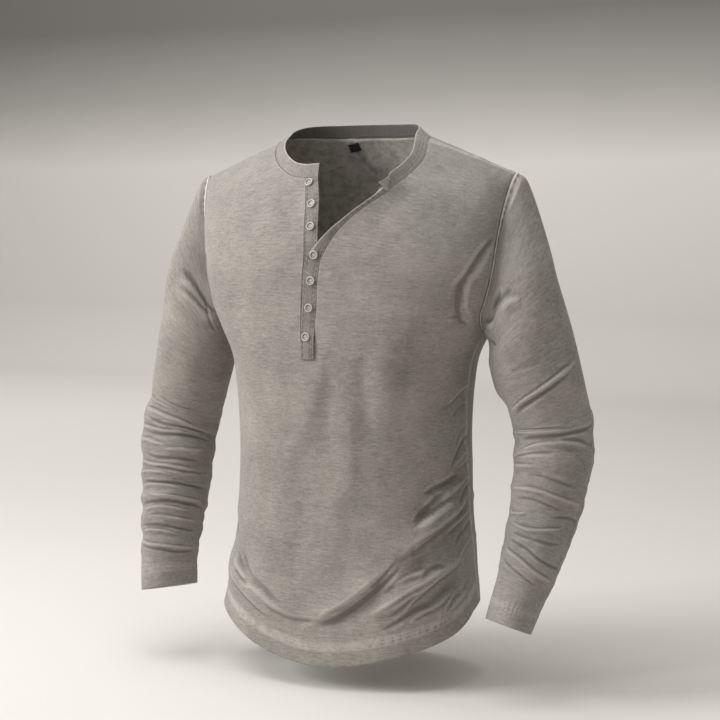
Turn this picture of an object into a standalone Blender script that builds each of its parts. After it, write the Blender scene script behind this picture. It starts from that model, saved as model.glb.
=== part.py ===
"""A long-sleeved henley shirt in washed jersey, filled out as it is worn, with no wearer inside.

Metres, +Z up. The wearer faces -Y and their left is +X. The origin is midway between the two neck
points, where the shoulders hold the shirt. Each piece of cloth is a wall of even thickness: an outer
surface worked out from the tables below, and an inner one moved in along the same normals.
"""

import math

import bpy
import numpy as np
from mathutils.bvhtree import BVHTree

# Cloth and seams
WALL = 0.0016
TRIM_WALL = 0.0018
SEAM_GAP = 0.0003
LAP_GAP = 0.0004

# The body of the shirt, a row for each section. Above the chest line the depth closes towards the
# shoulder ridge.
CHEST_HEIGHT = -0.200
TIP_HEIGHT = -0.055
SHOULDER_ARC = 0.250
RING_POWER = 2.4
FRONT_POWER = 1.55
BACK_POWER = 1.9
TIP_POWER = 2.25
RIDGE_TOP = 0.024
RIDGE_SLOPE = 0.43
RIDGE_ROUND = 0.060
BODY_RADIUS = 0.170
TORSO = np.array(
    [
        # height, half_width, front_depth, back_depth, sway
        (-0.730, 0.1880, 0.137, 0.120, -0.006),
        (-0.670, 0.1840, 0.136, 0.119, -0.006),
        (-0.620, 0.1800, 0.134, 0.115, -0.005),
        (-0.570, 0.1745, 0.131, 0.108, -0.002),
        (-0.520, 0.1700, 0.129, 0.100, -0.001),
        (-0.460, 0.1670, 0.129, 0.096, 0.000),
        (-0.400, 0.1655, 0.133, 0.097, 0.000),
        (-0.340, 0.1685, 0.139, 0.103, 0.000),
        (-0.300, 0.1755, 0.142, 0.108, 0.000),
        (-0.268, 0.1920, 0.142, 0.111, 0.000),
        (-0.225, 0.2135, 0.140, 0.114, 0.000),
        (-0.190, 0.2230, 0.138, 0.115, 0.000),
        (-0.145, 0.2290, 0.138, 0.115, 0.000),
        (-0.105, 0.2350, 0.138, 0.115, 0.000),
        (-0.055, 0.2400, 0.138, 0.115, 0.000),
    ]
)

# The hem, a row for each direction from the body's axis in degrees: highest at the side seams, with a
# rounded tail in front and behind, and hanging lower in front of the wearer's left side. The side seams
# drift back towards it.
HEM = np.array(
    [
        # around, height
        (-104, -0.630),
        (-96, -0.632),
        (-84, -0.638),
        (-72, -0.647),
        (-60, -0.658),
        (-42, -0.678),
        (-24, -0.698),
        (0, -0.713),
        (14, -0.712),
        (28, -0.704),
        (42, -0.693),
        (60, -0.679),
        (74, -0.668),
        (86, -0.656),
        (96, -0.644),
        (104, -0.636),
        (112, -0.640),
        (122, -0.652),
        (138, -0.682),
        (158, -0.707),
        (180, -0.714),
        (202, -0.707),
        (222, -0.680),
        (238, -0.649),
        (248, -0.634),
        (256, -0.630),
    ]
)
SIDE_DRIFT = math.radians(14)

# The armhole, a row for each direction round the arm in degrees: -90 back, 0 the shoulder tip, 90 front,
# 180 underarm. Around is in degrees, and a rise over SHOULDER_ARC has crossed the ridge.
ARMHOLE = np.array(
    [
        # round_arm, around, rise
        (-180, 90.0, 0.566),
        (-165, 80.4, 0.562),
        (-150, 71.8, 0.549),
        (-120, 61.5, 0.513),
        (-90, 57.5, 0.465),
        (-60, 57.2, 0.417),
        (-45, 58.8, 0.390),
        (-30, 63.0, 0.350),
        (-15, 70.5, 0.298),
        (0, 77.0, 0.250),
        (15, 76.4, 0.202),
        (30, 74.7, 0.152),
        (60, 73.8, 0.102),
        (90, 74.0, 0.056),
        (105, 73.6, 0.017),
        (120, 73.4, -0.022),
        (150, 77.5, -0.050),
        (165, 83.0, -0.061),
        (180, 90.0, -0.066),
    ]
)
TIP_AROUND = math.radians(77)

# The neck seam's rise at centre back, and the neckband
NECK_BACK_RISE = 0.172
BAND_HEIGHT = 0.019

# How far the neckband leans in towards the neck, from 0 upright to 1 in line with the cloth it is sewn
# to, at shares of its length from the wearer's right end, and the way it stands at the end that the
# opened front turns over
BAND_LEAN = np.array(
    [
        # share, lean
        (0.00, 0.50),
        (0.15, 0.55),
        (0.28, 0.80),
        (0.35, 0.80),
        (0.43, 0.50),
        (0.58, 0.50),
        (0.65, 0.75),
        (0.72, 0.70),
        (0.85, 0.45),
        (0.95, 0.15),
        (1.00, 0.10),
    ]
)
BAND_END = (0.78, 0.41, 0.48)

# The placket at centre front
SLOT_FOOT = -0.288
SLOT_MOUTH = 0.006

# The over placket, laid on the stand and open above the fourth button. Places are seen from in front,
# lifts are how far the strip's outer face stands off the body's form.
OVER_PLACKET = np.array(
    [
        # free_x, free_z, seam_x, seam_z, free_lift, seam_lift
        (-0.0085, -0.3005, 0.0112, -0.3005, 0.0022, 0.0022),
        (-0.0085, -0.2720, 0.0112, -0.2720, 0.0022, 0.0022),
        (-0.0082, -0.2620, 0.0115, -0.2620, 0.0022, 0.0004),
        (-0.0072, -0.2300, 0.0125, -0.2300, 0.0022, 0.0002),
        (-0.0058, -0.1850, 0.0140, -0.1880, 0.0022, 0.0002),
        (-0.0030, -0.1640, 0.0158, -0.1700, 0.0040, 0.0005),
        (0.0060, -0.1470, 0.0225, -0.1550, 0.0085, 0.0015),
        (0.0166, -0.1330, 0.0305, -0.1410, 0.0120, 0.0028),
        (0.0268, -0.1195, 0.0395, -0.1285, 0.0150, 0.0042),
        (0.0393, -0.1070, 0.0505, -0.1170, 0.0170, 0.0055),
        (0.0540, -0.0950, 0.0645, -0.1055, 0.0185, 0.0062),
        (0.0685, -0.0850, 0.0790, -0.0945, 0.0195, 0.0066),
        (0.0838, -0.0775, 0.0940, -0.0830, 0.0200, 0.0070),
    ]
)
FLAP_FROM = 3  # the row of the over placket at which the front begins to open
FLAP_REACH = 0.040
STRIP_SAMPLES = 90

# The button stand, sewn to the wearer's right edge of the slot and lying under the over placket
UNDER_PLACKET = np.array(
    [
        # seam_x, seam_z, free_x, free_z, seam_lift, free_lift
        (-0.0098, -0.2760, 0.0098, -0.2760, 0.0, -0.0022),
        (-0.0096, -0.2300, 0.0100, -0.2300, 0.0, -0.0022),
        (-0.0092, -0.1850, 0.0104, -0.1850, 0.0, -0.0022),
        (-0.0098, -0.1620, 0.0098, -0.1620, 0.0, -0.0022),
        (-0.0122, -0.1450, 0.0074, -0.1450, 0.0, -0.0016),
        (-0.0155, -0.1250, 0.0042, -0.1250, 0.0, -0.0008),
        (-0.0195, -0.1000, 0.0003, -0.0990, 0.0, 0.0),
        (-0.0255, -0.0780, -0.0056, -0.0770, 0.0, 0.0),
        (-0.0325, -0.0605, -0.0127, -0.0595, 0.0, 0.0),
    ]
)

# The neck seam in front, from the neck point to the placket, as seen from in front
NECK_RIGHT = np.array(
    [
        # x, height
        (-0.1150, -0.0095),
        (-0.1120, -0.0190),
        (-0.1000, -0.0330),
        (-0.0800, -0.0470),
        (-0.0520, -0.0585),
        (-0.0325, -0.0605),
    ]
)
NECK_LEFT = np.array(
    [
        # x, height
        (0.1150, -0.0095),
        (0.1210, -0.0220),
        (0.1230, -0.0380),
        (0.1160, -0.0540),
        (0.1040, -0.0690),
        (0.0940, -0.0830),
    ]
)

# The sleeve's tube for the wearer's left, a row for each section down the arm. Fan turns a section up at
# its outer side and twist turns its long way round the arm, in degrees.
SLEEVE = np.array(
    [
        # x, y, z, half_width, half_depth, fan, twist
        (0.2575, -0.0020, -0.270, 0.0612, 0.0580, 21, 0),
        (0.2675, 0.0010, -0.310, 0.0590, 0.0570, 11, 0),
        (0.2782, 0.0040, -0.350, 0.0562, 0.0550, 3, 0),
        (0.2888, 0.0060, -0.390, 0.0537, 0.0540, 0, 0),
        (0.2940, -0.0010, -0.420, 0.0530, 0.0540, 0, 10),
        (0.2930, -0.0115, -0.460, 0.0510, 0.0500, 0, 25),
        (0.2895, -0.0215, -0.500, 0.0480, 0.0460, 0, 40),
        (0.2845, -0.0375, -0.540, 0.0455, 0.0415, 0, 48),
        (0.2785, -0.0545, -0.580, 0.0425, 0.0370, 0, 50),
        (0.2705, -0.0700, -0.615, 0.0405, 0.0325, 0, 50),
        (0.2640, -0.0795, -0.643, 0.0400, 0.0300, 0, 50),
    ]
)
CAP_LENGTH = 0.120
CAP_START_TOP = 0.058
CAP_START_UNDERARM = 0.030
CAP_END = 1.15
SLEEVE_RADIUS = 0.050
UNDERARM_GAP = 0.0003

# Folds, a row each: a bowed path from a start through a middle to an end, how far its crest stands out of
# the form, or into it below 0, and its half width. On the body a place is an angle in degrees from centre
# front and a rise in metres, and on a sleeve an angle round the arm and a length down from the armhole.
BODY_FOLDS = np.array(
    [
        # start, start_up, middle, middle_up, end, end_up, depth, half_width
        (52, -0.282, 66, -0.272, 86, -0.254, -0.0030, 0.010),
        (50, -0.294, 66, -0.284, 88, -0.268, 0.0035, 0.011),
        (47, -0.317, 57, -0.296, 68, -0.279, -0.0040, 0.010),
        (48, -0.330, 57, -0.314, 78, -0.292, 0.0050, 0.012),
        (92, -0.292, 58, -0.326, 34, -0.372, 0.0055, 0.014),
        (34, -0.372, 20, -0.420, 0, -0.455, 0.0055, 0.015),
        (0, -0.455, -26, -0.430, -56, -0.375, 0.0045, 0.015),
        (88, -0.322, 60, -0.350, 38, -0.392, -0.0050, 0.013),
        (38, -0.392, 18, -0.442, 0, -0.474, -0.0040, 0.014),
        (84, -0.364, 54, -0.398, 24, -0.450, 0.0050, 0.012),
        (80, -0.392, 56, -0.420, 38, -0.452, -0.0040, 0.012),
        (88, -0.405, 70, -0.428, 50, -0.458, 0.0040, 0.012),
        (-70, -0.330, -48, -0.372, -30, -0.412, -0.0040, 0.013),
        (-84, -0.360, -60, -0.400, -34, -0.432, 0.0030, 0.014),
        (-108, -0.436, -76, -0.458, -44, -0.482, 0.0085, 0.020),
        (6, -0.104, 0, -0.168, -15, -0.236, 0.0030, 0.012),
        (10, -0.140, 9, -0.170, 8, -0.200, -0.0025, 0.010),
        (19, -0.190, 19, -0.226, 19, -0.260, 0.0028, 0.012),
        (34, -0.081, 38, -0.125, 39, -0.170, 0.0030, 0.012),
        (27, -0.100, 27, -0.145, 29, -0.200, -0.0025, 0.012),
        (96, -0.148, 76, -0.158, 58, -0.178, -0.0030, 0.011),
        (98, -0.202, 84, -0.226, 70, -0.256, -0.0030, 0.010),
        (72, 0.062, 62, 0.036, 57, 0.014, -0.0035, 0.011),
        (57, 0.014, 57, -0.022, 68, -0.054, -0.0040, 0.012),
        (-70, 0.055, -60, 0.020, -62, -0.040, -0.0030, 0.012),
        (-92, -0.100, -80, -0.124, -60, -0.140, -0.0030, 0.011),
        (112, -0.290, 140, -0.320, 166, -0.372, 0.0050, 0.015),
        (108, -0.318, 138, -0.352, 160, -0.402, -0.0040, 0.014),
        (248, -0.300, 222, -0.336, 196, -0.380, 0.0050, 0.015),
        (252, -0.330, 226, -0.366, 204, -0.406, -0.0040, 0.014),
        (176, -0.060, 172, -0.140, 178, -0.220, 0.0030, 0.014),
        (150, 0.060, 142, 0.000, 148, -0.070, -0.0030, 0.014),
        (212, 0.062, 220, 0.004, 214, -0.066, -0.0030, 0.014),
        (156, -0.250, 168, -0.292, 190, -0.312, 0.0035, 0.013),
        (206, -0.236, 196, -0.270, 176, -0.290, -0.0030, 0.013),
    ]
)
LEFT_SLEEVE_FOLDS = np.array(
    [
        # start, start_up, middle, middle_up, end, end_up, depth, half_width
        (24, -0.030, 28, 0.048, 30, 0.126, 0.0092, 0.030),
        (152, 0.095, 152, 0.150, 152, 0.205, 0.0030, 0.022),
        (152, 0.165, 152, 0.225, 152, 0.290, -0.0050, 0.022),
        (148, 0.030, 118, 0.056, 92, 0.074, -0.0030, 0.009),
        (160, 0.044, 110, 0.080, 66, 0.092, 0.0025, 0.010),
        (172, 0.062, 120, 0.100, 84, 0.112, -0.0022, 0.010),
        (146, 0.210, 64, 0.190, -20, 0.168, 0.0025, 0.009),
        (190, 0.236, 62, 0.252, -64, 0.224, 0.0045, 0.010),
        (192, 0.256, 74, 0.270, -62, 0.244, -0.0045, 0.010),
        (194, 0.276, 74, 0.290, -66, 0.268, 0.0045, 0.010),
        (200, 0.306, 90, 0.314, -20, 0.306, -0.0035, 0.011),
        (196, 0.336, 72, 0.336, -58, 0.346, 0.0035, 0.010),
        (190, 0.356, 80, 0.362, -30, 0.366, -0.0030, 0.010),
        (192, 0.384, 84, 0.392, -26, 0.374, 0.0035, 0.009),
        (194, 0.402, 74, 0.420, -56, 0.424, -0.0040, 0.009),
        (192, 0.416, 76, 0.440, -44, 0.446, 0.0040, 0.009),
        (330, 0.232, 262, 0.250, 190, 0.238, 0.0040, 0.011),
        (334, 0.256, 268, 0.272, 196, 0.262, -0.0040, 0.011),
        (322, 0.300, 250, 0.312, 184, 0.300, 0.0038, 0.011),
        (336, 0.344, 262, 0.352, 190, 0.340, -0.0035, 0.010),
        (330, 0.380, 258, 0.392, 186, 0.384, 0.0035, 0.010),
        (338, 0.424, 270, 0.430, 196, 0.416, 0.0030, 0.009),
    ]
)
RIGHT_SLEEVE_FOLDS = np.array(
    [
        # start, start_up, middle, middle_up, end, end_up, depth, half_width
        (24, -0.030, 28, 0.048, 30, 0.126, 0.0092, 0.030),
        (56, 0.077, 100, 0.064, 150, 0.026, -0.0030, 0.009),
        (54, 0.090, 98, 0.080, 146, 0.044, 0.0025, 0.010),
        (60, 0.106, 104, 0.098, 150, 0.068, -0.0025, 0.010),
        (28, 0.240, 28, 0.310, 28, 0.420, 0.0040, 0.026),
        (208, 0.250, 208, 0.350, 208, 0.460, 0.0050, 0.028),
        (-30, 0.246, 114, 0.275, 252, 0.262, 0.0060, 0.011),
        (-26, 0.268, 116, 0.293, 250, 0.280, -0.0040, 0.009),
        (-30, 0.292, 112, 0.312, 254, 0.302, 0.0050, 0.011),
        (-28, 0.322, 112, 0.330, 248, 0.330, -0.0036, 0.009),
        (-32, 0.344, 118, 0.352, 252, 0.348, 0.0052, 0.011),
        (-24, 0.366, 120, 0.374, 250, 0.366, -0.0036, 0.008),
        (-30, 0.386, 118, 0.390, 252, 0.386, 0.0048, 0.009),
        (-26, 0.404, 116, 0.402, 248, 0.404, -0.0032, 0.008),
        (-28, 0.424, 120, 0.424, 250, 0.426, 0.0048, 0.009),
        (-24, 0.440, 120, 0.444, 246, 0.446, -0.0032, 0.008),
        (-26, 0.454, 116, 0.462, 248, 0.462, 0.0040, 0.008),
        (234, 0.268, 286, 0.276, 344, 0.258, 0.0042, 0.011),
        (230, 0.304, 286, 0.310, 342, 0.298, -0.0040, 0.011),
        (232, 0.344, 290, 0.352, 346, 0.342, 0.0042, 0.010),
        (236, 0.380, 284, 0.388, 340, 0.382, -0.0038, 0.010),
        (230, 0.420, 290, 0.424, 348, 0.418, 0.0038, 0.009),
    ]
)
FOLD_FADE = 0.30
FOLD_TIP = 0.60
SEAM_HOLD = 0.022
SEAM_SAMPLES = 90

# Buttons: where each sits, seen from in front. The first three are on the stand and the rest on the over
# placket.
BUTTONS = np.array(
    [
        # x, z
        (-0.0233, -0.0672),
        (-0.0112, -0.0960),
        (-0.0060, -0.1255),
        (0.0072, -0.1622),
        (0.0045, -0.1965),
        (0.0030, -0.2325),
        (-0.0003, -0.2700),
    ]
)
BUTTONS_ON_STAND = 3
BUTTON_SIDES = 12
BUTTON_OFF = 0.0004
BUTTON_SEARCH = 400
BUTTON_SEAT = 0.02
BUTTON_PROFILE = np.array(
    [
        # radius, height
        (0.0052, 0.0000),
        (0.0057, 0.0013),
        (0.0046, 0.0021),
        (0.0034, 0.0014),
    ]
)

# The tag inside the back neck
TAG_AROUND = math.radians(187)
TAG_WIDTH = 0.017
TAG_HEIGHT = 0.0145
TAG_TOP = 0.1660
TAG_WALL = 0.0008
TAG_GRID = 4

# Grids. The armhole's rows and the neck's columns are shared by every piece that meets there.
SLOT_ROWS = 24
ARMHOLE_ROWS = 12
NECK_FRONT_COLUMNS = 9
NECK_BACK_COLUMNS = 7
SHOULDER_COLUMNS = 7
BACK_SIDE_ROWS = 16
CAP_RINGS = (0.0, 0.07, 0.16, 0.28, 0.42, 0.58, 0.74, 0.88)
TUBE_RINGS = 30
STRIP_ROWS = 22
STRIP_COLUMNS = 4
BAND_ROWS = 4
SHARP_ANGLE = math.radians(70)


def smooth_rows(table, at, key=0):
    """Values of a table's other columns at places along its key column, on a smooth curve through the
    rows.
    """
    keys = table[:, key]
    values = np.delete(table, key, axis=1)
    slopes = np.gradient(values, keys, axis=0)
    at = np.clip(np.asarray(at, float), keys[0], keys[-1])
    row = np.clip(np.searchsorted(keys, at, side="right") - 1, 0, len(keys) - 2)
    span = keys[row + 1] - keys[row]
    t = ((at - keys[row]) / span)[..., None]
    span = span[..., None]
    start, end = values[row], values[row + 1]
    return (
        (2 * t**3 - 3 * t**2 + 1) * start
        + (t**3 - 2 * t**2 + t) * span * slopes[row]
        + (3 * t**2 - 2 * t**3) * end
        + (t**3 - t**2) * span * slopes[row + 1]
    )


def along_points(points, at, axes=2):
    """Rows on a smooth curve through points, where at runs from 0 at the first to 1 at the last by
    length. The first axes columns are places.
    """
    steps = np.linalg.norm(np.diff(points[:, :axes], axis=0), axis=1)
    keys = np.concatenate([[0.0], np.cumsum(steps)])
    return smooth_rows(np.column_stack([keys / keys[-1], points]), at)


def columns_of(rows):
    """The columns of rows of values, to be taken apart by name."""
    return np.moveaxis(rows, -1, 0)


def unit(vectors):
    return vectors / np.maximum(np.linalg.norm(vectors, axis=-1, keepdims=True), 1e-12)


def ridge_height(x):
    """Height of the shoulder ridge: a straight slope each way from a rounded top."""
    return RIDGE_TOP - RIDGE_SLOPE * (np.sqrt(x**2 + RIDGE_ROUND**2) - RIDGE_ROUND)


def ring_spread(around):
    """Distance from the axis of a unit superellipse in the direction around."""
    across, ahead = np.abs(np.sin(around)), np.abs(np.cos(around))
    return (across**RING_POWER + ahead**RING_POWER) ** (-1 / RING_POWER)


def ridge_power(around):
    """Roundness of the shoulder ridge, fullest at the tips."""
    centre = np.where(np.cos(around) >= 0, FRONT_POWER, BACK_POWER)
    return centre + (TIP_POWER - centre) * np.sin(around) ** 8


def torso_point(around, rise):
    """The body's form. around is the angle from centre front, towards the wearer's left. rise is the
    height over the chest line up to it, and from there a length along the curve up to the shoulder
    ridge, at SHOULDER_ARC, and down the other side.
    """
    around, rise = np.broadcast_arrays(np.asarray(around, float), np.asarray(rise, float))
    over = rise > SHOULDER_ARC
    around = np.where(over, math.pi - around, around)
    rise = np.where(over, 2 * SHOULDER_ARC - rise, rise)
    turn = np.clip(rise / SHOULDER_ARC, 0, 1) * math.pi / 2
    front = np.cos(around) >= 0
    power = ridge_power(around)
    climb = np.sin(turn) ** (2 / power)
    reach = np.maximum(np.cos(turn), 0) ** (2 / power)
    below = np.minimum(rise, 0)
    row = smooth_rows(TORSO, CHEST_HEIGHT + below + (TIP_HEIGHT - CHEST_HEIGHT) * climb)
    half_width, front_depth, back_depth, sway = columns_of(row)
    spread = ring_spread(around)
    x = sway + half_width * np.sin(around) * spread
    depth = np.where(front, front_depth, back_depth)
    y = -depth * np.cos(around) * spread * reach
    z = CHEST_HEIGHT + below + (ridge_height(x) - CHEST_HEIGHT) * climb
    return np.stack([x, y, z], axis=-1)


def torso_normal(around, rise):
    """Unit normal of the body's form, pointing out, from its slopes round and up."""
    turn, step = 2e-3, 4e-4
    round_body = torso_point(np.add(around, turn), rise) - torso_point(np.subtract(around, turn), rise)
    up_body = torso_point(around, np.add(rise, step)) - torso_point(around, np.subtract(rise, step))
    return unit(np.cross(round_body, up_body))


def chart_from_front(x, z):
    """(around, rise) of the point of the front that is seen at x and z from in front."""
    x, z = np.broadcast_arrays(np.asarray(x, float), np.asarray(z, float))
    climb = np.clip((z - CHEST_HEIGHT) / (ridge_height(x) - CHEST_HEIGHT), 0, 1)
    height = np.where(z < CHEST_HEIGHT, z, CHEST_HEIGHT + (TIP_HEIGHT - CHEST_HEIGHT) * climb)
    row = smooth_rows(TORSO, height)
    half_width, _, _, sway = columns_of(row)
    share = np.clip(np.abs(x - sway) / half_width, 1e-9, 1 - 1e-9)
    around = np.sign(x - sway) * np.arctan((share**-RING_POWER - 1) ** (-1 / RING_POWER))
    turn = np.arcsin(climb ** (ridge_power(around) / 2))
    rise = np.where(z < CHEST_HEIGHT, z - CHEST_HEIGHT, SHOULDER_ARC * turn / (math.pi / 2))
    return around, rise


def hem_rise(around):
    """Rise of the hem in a direction from the wearer's right side seam, round the front, to the same
    seam again.
    """
    return smooth_rows(HEM, np.degrees(around))[..., 0] - CHEST_HEIGHT


def armhole_chart(round_arm):
    """(around, rise) of the wearer's left armhole at an angle round the arm in degrees, its back given
    as the back's own chart.
    """
    wrapped = 180 - (180 - np.asarray(round_arm, float)) % 360
    places = smooth_rows(ARMHOLE, wrapped)
    around, rise = np.radians(places[..., 0]), places[..., 1]
    behind = wrapped < 0
    return np.where(behind, math.pi - around, around), np.where(behind, 2 * SHOULDER_ARC - rise, rise)


def fold_height(folds, radius, across, up):
    """Sum of the folds at places given as an angle and a length. A fold's path is a chord, bowed as a
    parabola through its middle. The cloth stands as a bell across it, and fades and narrows over a
    share of the path at either end.
    """
    across, up = np.asarray(across, float) * radius, np.asarray(up, float)
    girth = 2 * math.pi * radius
    height = np.zeros(np.broadcast(across, up).shape)
    for start, start_up, middle, middle_up, end, end_up, depth, half_width in folds:
        start, middle, end = np.radians((start, middle, end)) * radius
        length = math.hypot(end - start, end_up - start_up)
        line_x, line_y = (end - start) / length, (end_up - start_up) / length
        share = ((middle - start) * line_x + (middle_up - start_up) * line_y) / length
        bow = ((middle_up - start_up) * line_x - (middle - start) * line_y) / (share * (1 - share))
        x = (across - middle + girth / 2) % girth - girth / 2 + middle - start
        y = up - start_up
        along = (x * line_x + y * line_y) / length
        aside = y * line_x - x * line_y - bow * along * (1 - along)
        aside = aside / np.sqrt(1 + (bow * (1 - 2 * along) / length) ** 2)
        fade = np.clip(np.minimum(along, 1 - along) / FOLD_FADE, 0, 1)
        fade = fade * fade * (3 - 2 * fade)
        width = half_width * (FOLD_TIP + (1 - FOLD_TIP) * fade)
        height += depth * fade * np.exp(-((aside / width) ** 2))
    return height


def freed(gap):
    """How free the cloth is to fold at a distance from the armhole seam: 0 at the seam, 1 past
    SEAM_HOLD.
    """
    share = np.clip(gap / SEAM_HOLD, 0, 1)
    return share * share * (3 - 2 * share)


def body_folds(around, rise):
    """The folds of the body cloth, with places over the ridge taken as the far side's own."""
    around, rise = np.broadcast_arrays(np.asarray(around, float), np.asarray(rise, float))
    over = rise > SHOULDER_ARC
    around, rise = np.where(over, math.pi - around, around), np.where(over, 2 * SHOULDER_ARC - rise, rise)
    from_front = np.abs((around + math.pi) % (2 * math.pi) - math.pi)
    seam_around, seam_rise = armhole_chart(np.linspace(-180, 180, SEAM_SAMPLES))
    beside = (from_front[..., None] - seam_around) * BODY_RADIUS
    gap = np.hypot(beside, rise[..., None] - seam_rise).min(axis=-1)
    return fold_height(BODY_FOLDS, BODY_RADIUS, around, rise) * freed(gap)


def strip_chart(table, up, across):
    """(around, rise, lift) on a placket strip: up runs from foot to top, across from the table's first
    edge to its second.
    """
    x, z, far_x, far_z, lift, far_lift = columns_of(along_points(table, up))
    across = np.asarray(across, float)
    around, rise = chart_from_front(x + (far_x - x) * across, z + (far_z - z) * across)
    return around, rise, lift + (far_lift - lift) * across


def flap_lift(around, rise):
    """How far the opened front stands off beside the over placket: the most that any part of the
    strip's seam lifts it, where that lift fades with the distance.
    """
    opened = along_points(OVER_PLACKET[FLAP_FROM:], np.linspace(0, 1, STRIP_SAMPLES))
    _, _, seam_x, seam_z, _, seam_lift = columns_of(opened)
    place = torso_point(around, rise)
    gap = np.hypot(place[..., 0, None] - seam_x, place[..., 2, None] - seam_z)
    lift = ((seam_lift - seam_lift[0]) * np.clip(1 - gap / FLAP_REACH, 0, 1) ** 2).max(axis=-1)
    return np.where((place[..., 0] > 0) & (place[..., 1] < 0), np.maximum(lift, 0), 0)


def body_surface(around, rise, lift=0.0):
    """A point of the shirt's body cloth with its folds, lifted off the outer face along the normal."""
    stand = lift + flap_lift(around, rise) + body_folds(around, rise)
    return torso_point(around, rise) + torso_normal(around, rise) * stand[..., None]


def front_edge(side, up):
    """(around, rise) of the slot's edge on one side: 1 the wearer's left, -1 their right. up is 0 at
    the slot's foot.
    """
    free, seam = (OVER_PLACKET[:, 0:2], OVER_PLACKET[:, 2:4])
    if side < 0:
        seam, free = (UNDER_PLACKET[:, 0:2], UNDER_PLACKET[:, 2:4])
    row = along_points(np.column_stack([seam, free]), np.linspace(0, 1, STRIP_SAMPLES))
    edge = row[:, :2] + unit(row[:, :2] - row[:, 2:]) * SEAM_GAP
    mouth = (edge[0, 0], SLOT_FOOT + SLOT_MOUTH)
    edge = np.vstack([mouth, edge[edge[:, 1] > SLOT_FOOT + 1.5 * SLOT_MOUTH]])
    place = along_points(edge, up)
    return chart_from_front(place[..., 0], place[..., 1])


def neck_front(side, down):
    """(around, rise) of the front neck seam: down is 0 at the neck point and 1 at the placket."""
    place = along_points(NECK_LEFT if side > 0 else NECK_RIGHT, down)
    return chart_from_front(place[..., 0], place[..., 1])


def neck_back(swing):
    """(around, rise) of the back neck seam, from -90 degrees at the wearer's right neck point to 90 at
    their left.
    """
    point_around, point_rise = neck_front(1, 0.0)
    around = math.pi - point_around * np.sin(swing)
    full = 2 * SHOULDER_ARC - point_rise
    return around, NECK_BACK_RISE + (full - NECK_BACK_RISE) * (1 - np.cos(swing))


def shoulder_seam(across):
    """(around, rise) on the front side of the shoulder seam, from the neck point at 0 to the tip at 1."""
    neck_around, neck_rise = neck_front(1, 0.0)
    around = neck_around + (TIP_AROUND - neck_around) * across
    return around, neck_rise + (SHOULDER_ARC - neck_rise) * across


def patch(inner, outer, bottom, top):
    """A grid of chart places between four edges: each place is the blend of its row and of its column,
    less the blend of the corners. The outer edge's spacing is felt mostly near it.
    """
    u = np.linspace(0, 1, len(bottom))[:, None, None] ** 2
    v = np.linspace(0, 1, len(inner))[None, :, None]
    rows = (1 - u) * inner[None] + u * outer[None]
    columns = (1 - v) * bottom[:, None] + v * top[:, None]
    corners = (1 - u) * ((1 - v) * inner[0] + v * inner[-1]) + u * ((1 - v) * outer[0] + v * outer[-1])
    return rows + columns - corners


def side_edge(side, seam_rows, front):
    """(around, rise) up one side of a panel, mirrored for the wearer's right, which is side -1: the
    side seam, then the armhole to the tip.
    """
    gap = SEAM_GAP / 2 / BODY_RADIUS * (-1 if front else 1)
    under_rise = armhole_chart(180.0)[1]
    foot = math.pi / 2 + SIDE_DRIFT
    low = hem_rise(foot if side > 0 else (-foot if front else 2 * math.pi - foot))
    seam = np.linspace(0, 1, seam_rows + 1)[:-1]
    drift = SIDE_DRIFT * (1 - seam) ** 2
    seam_edge = np.column_stack([math.pi / 2 + drift + gap, low + (under_rise - low) * seam])
    around, rise = armhole_chart(np.linspace(180, 0, ARMHOLE_ROWS + 1) * (1 if front else -1))
    around[0] += gap
    if not front:
        around[-1] = math.pi - around[-1]
    return np.vstack([seam_edge, np.column_stack([around, rise])])


def front_half(side):
    """Chart grid of one half of the front, [column, row], from the centre outwards and from the hem
    up.
    """
    columns = NECK_FRONT_COLUMNS + SHOULDER_COLUMNS
    hem_around = np.linspace(0, math.pi / 2 + SIDE_DRIFT - SEAM_GAP / 2 / BODY_RADIUS, columns + 1)
    bottom = np.column_stack([hem_around, hem_rise(hem_around * side)])
    outer = side_edge(side, SLOT_ROWS, True)
    outer[-1, 1] -= SEAM_GAP
    centre_rise = np.linspace(hem_rise(0.0), SLOT_FOOT - CHEST_HEIGHT, SLOT_ROWS + 1)
    edge = np.column_stack(front_edge(side, np.linspace(0, 1, ARMHOLE_ROWS)))
    edge[:, 0] *= side
    inner = np.vstack([np.column_stack([0 * centre_rise, centre_rise]), edge])
    neck = np.column_stack(neck_front(side, np.linspace(1, 0, NECK_FRONT_COLUMNS + 1)))
    neck[:, 0] *= side
    neck[0] = inner[-1]
    neck[-1, 1] -= SEAM_GAP
    shoulder = np.column_stack(shoulder_seam(np.linspace(0, 1, SHOULDER_COLUMNS + 1)[1:])) - (0, SEAM_GAP)
    shoulder[-1] = outer[-1]
    grid = patch(inner, outer, bottom, np.vstack([neck, shoulder]))
    return grid * (side, 1)


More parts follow.
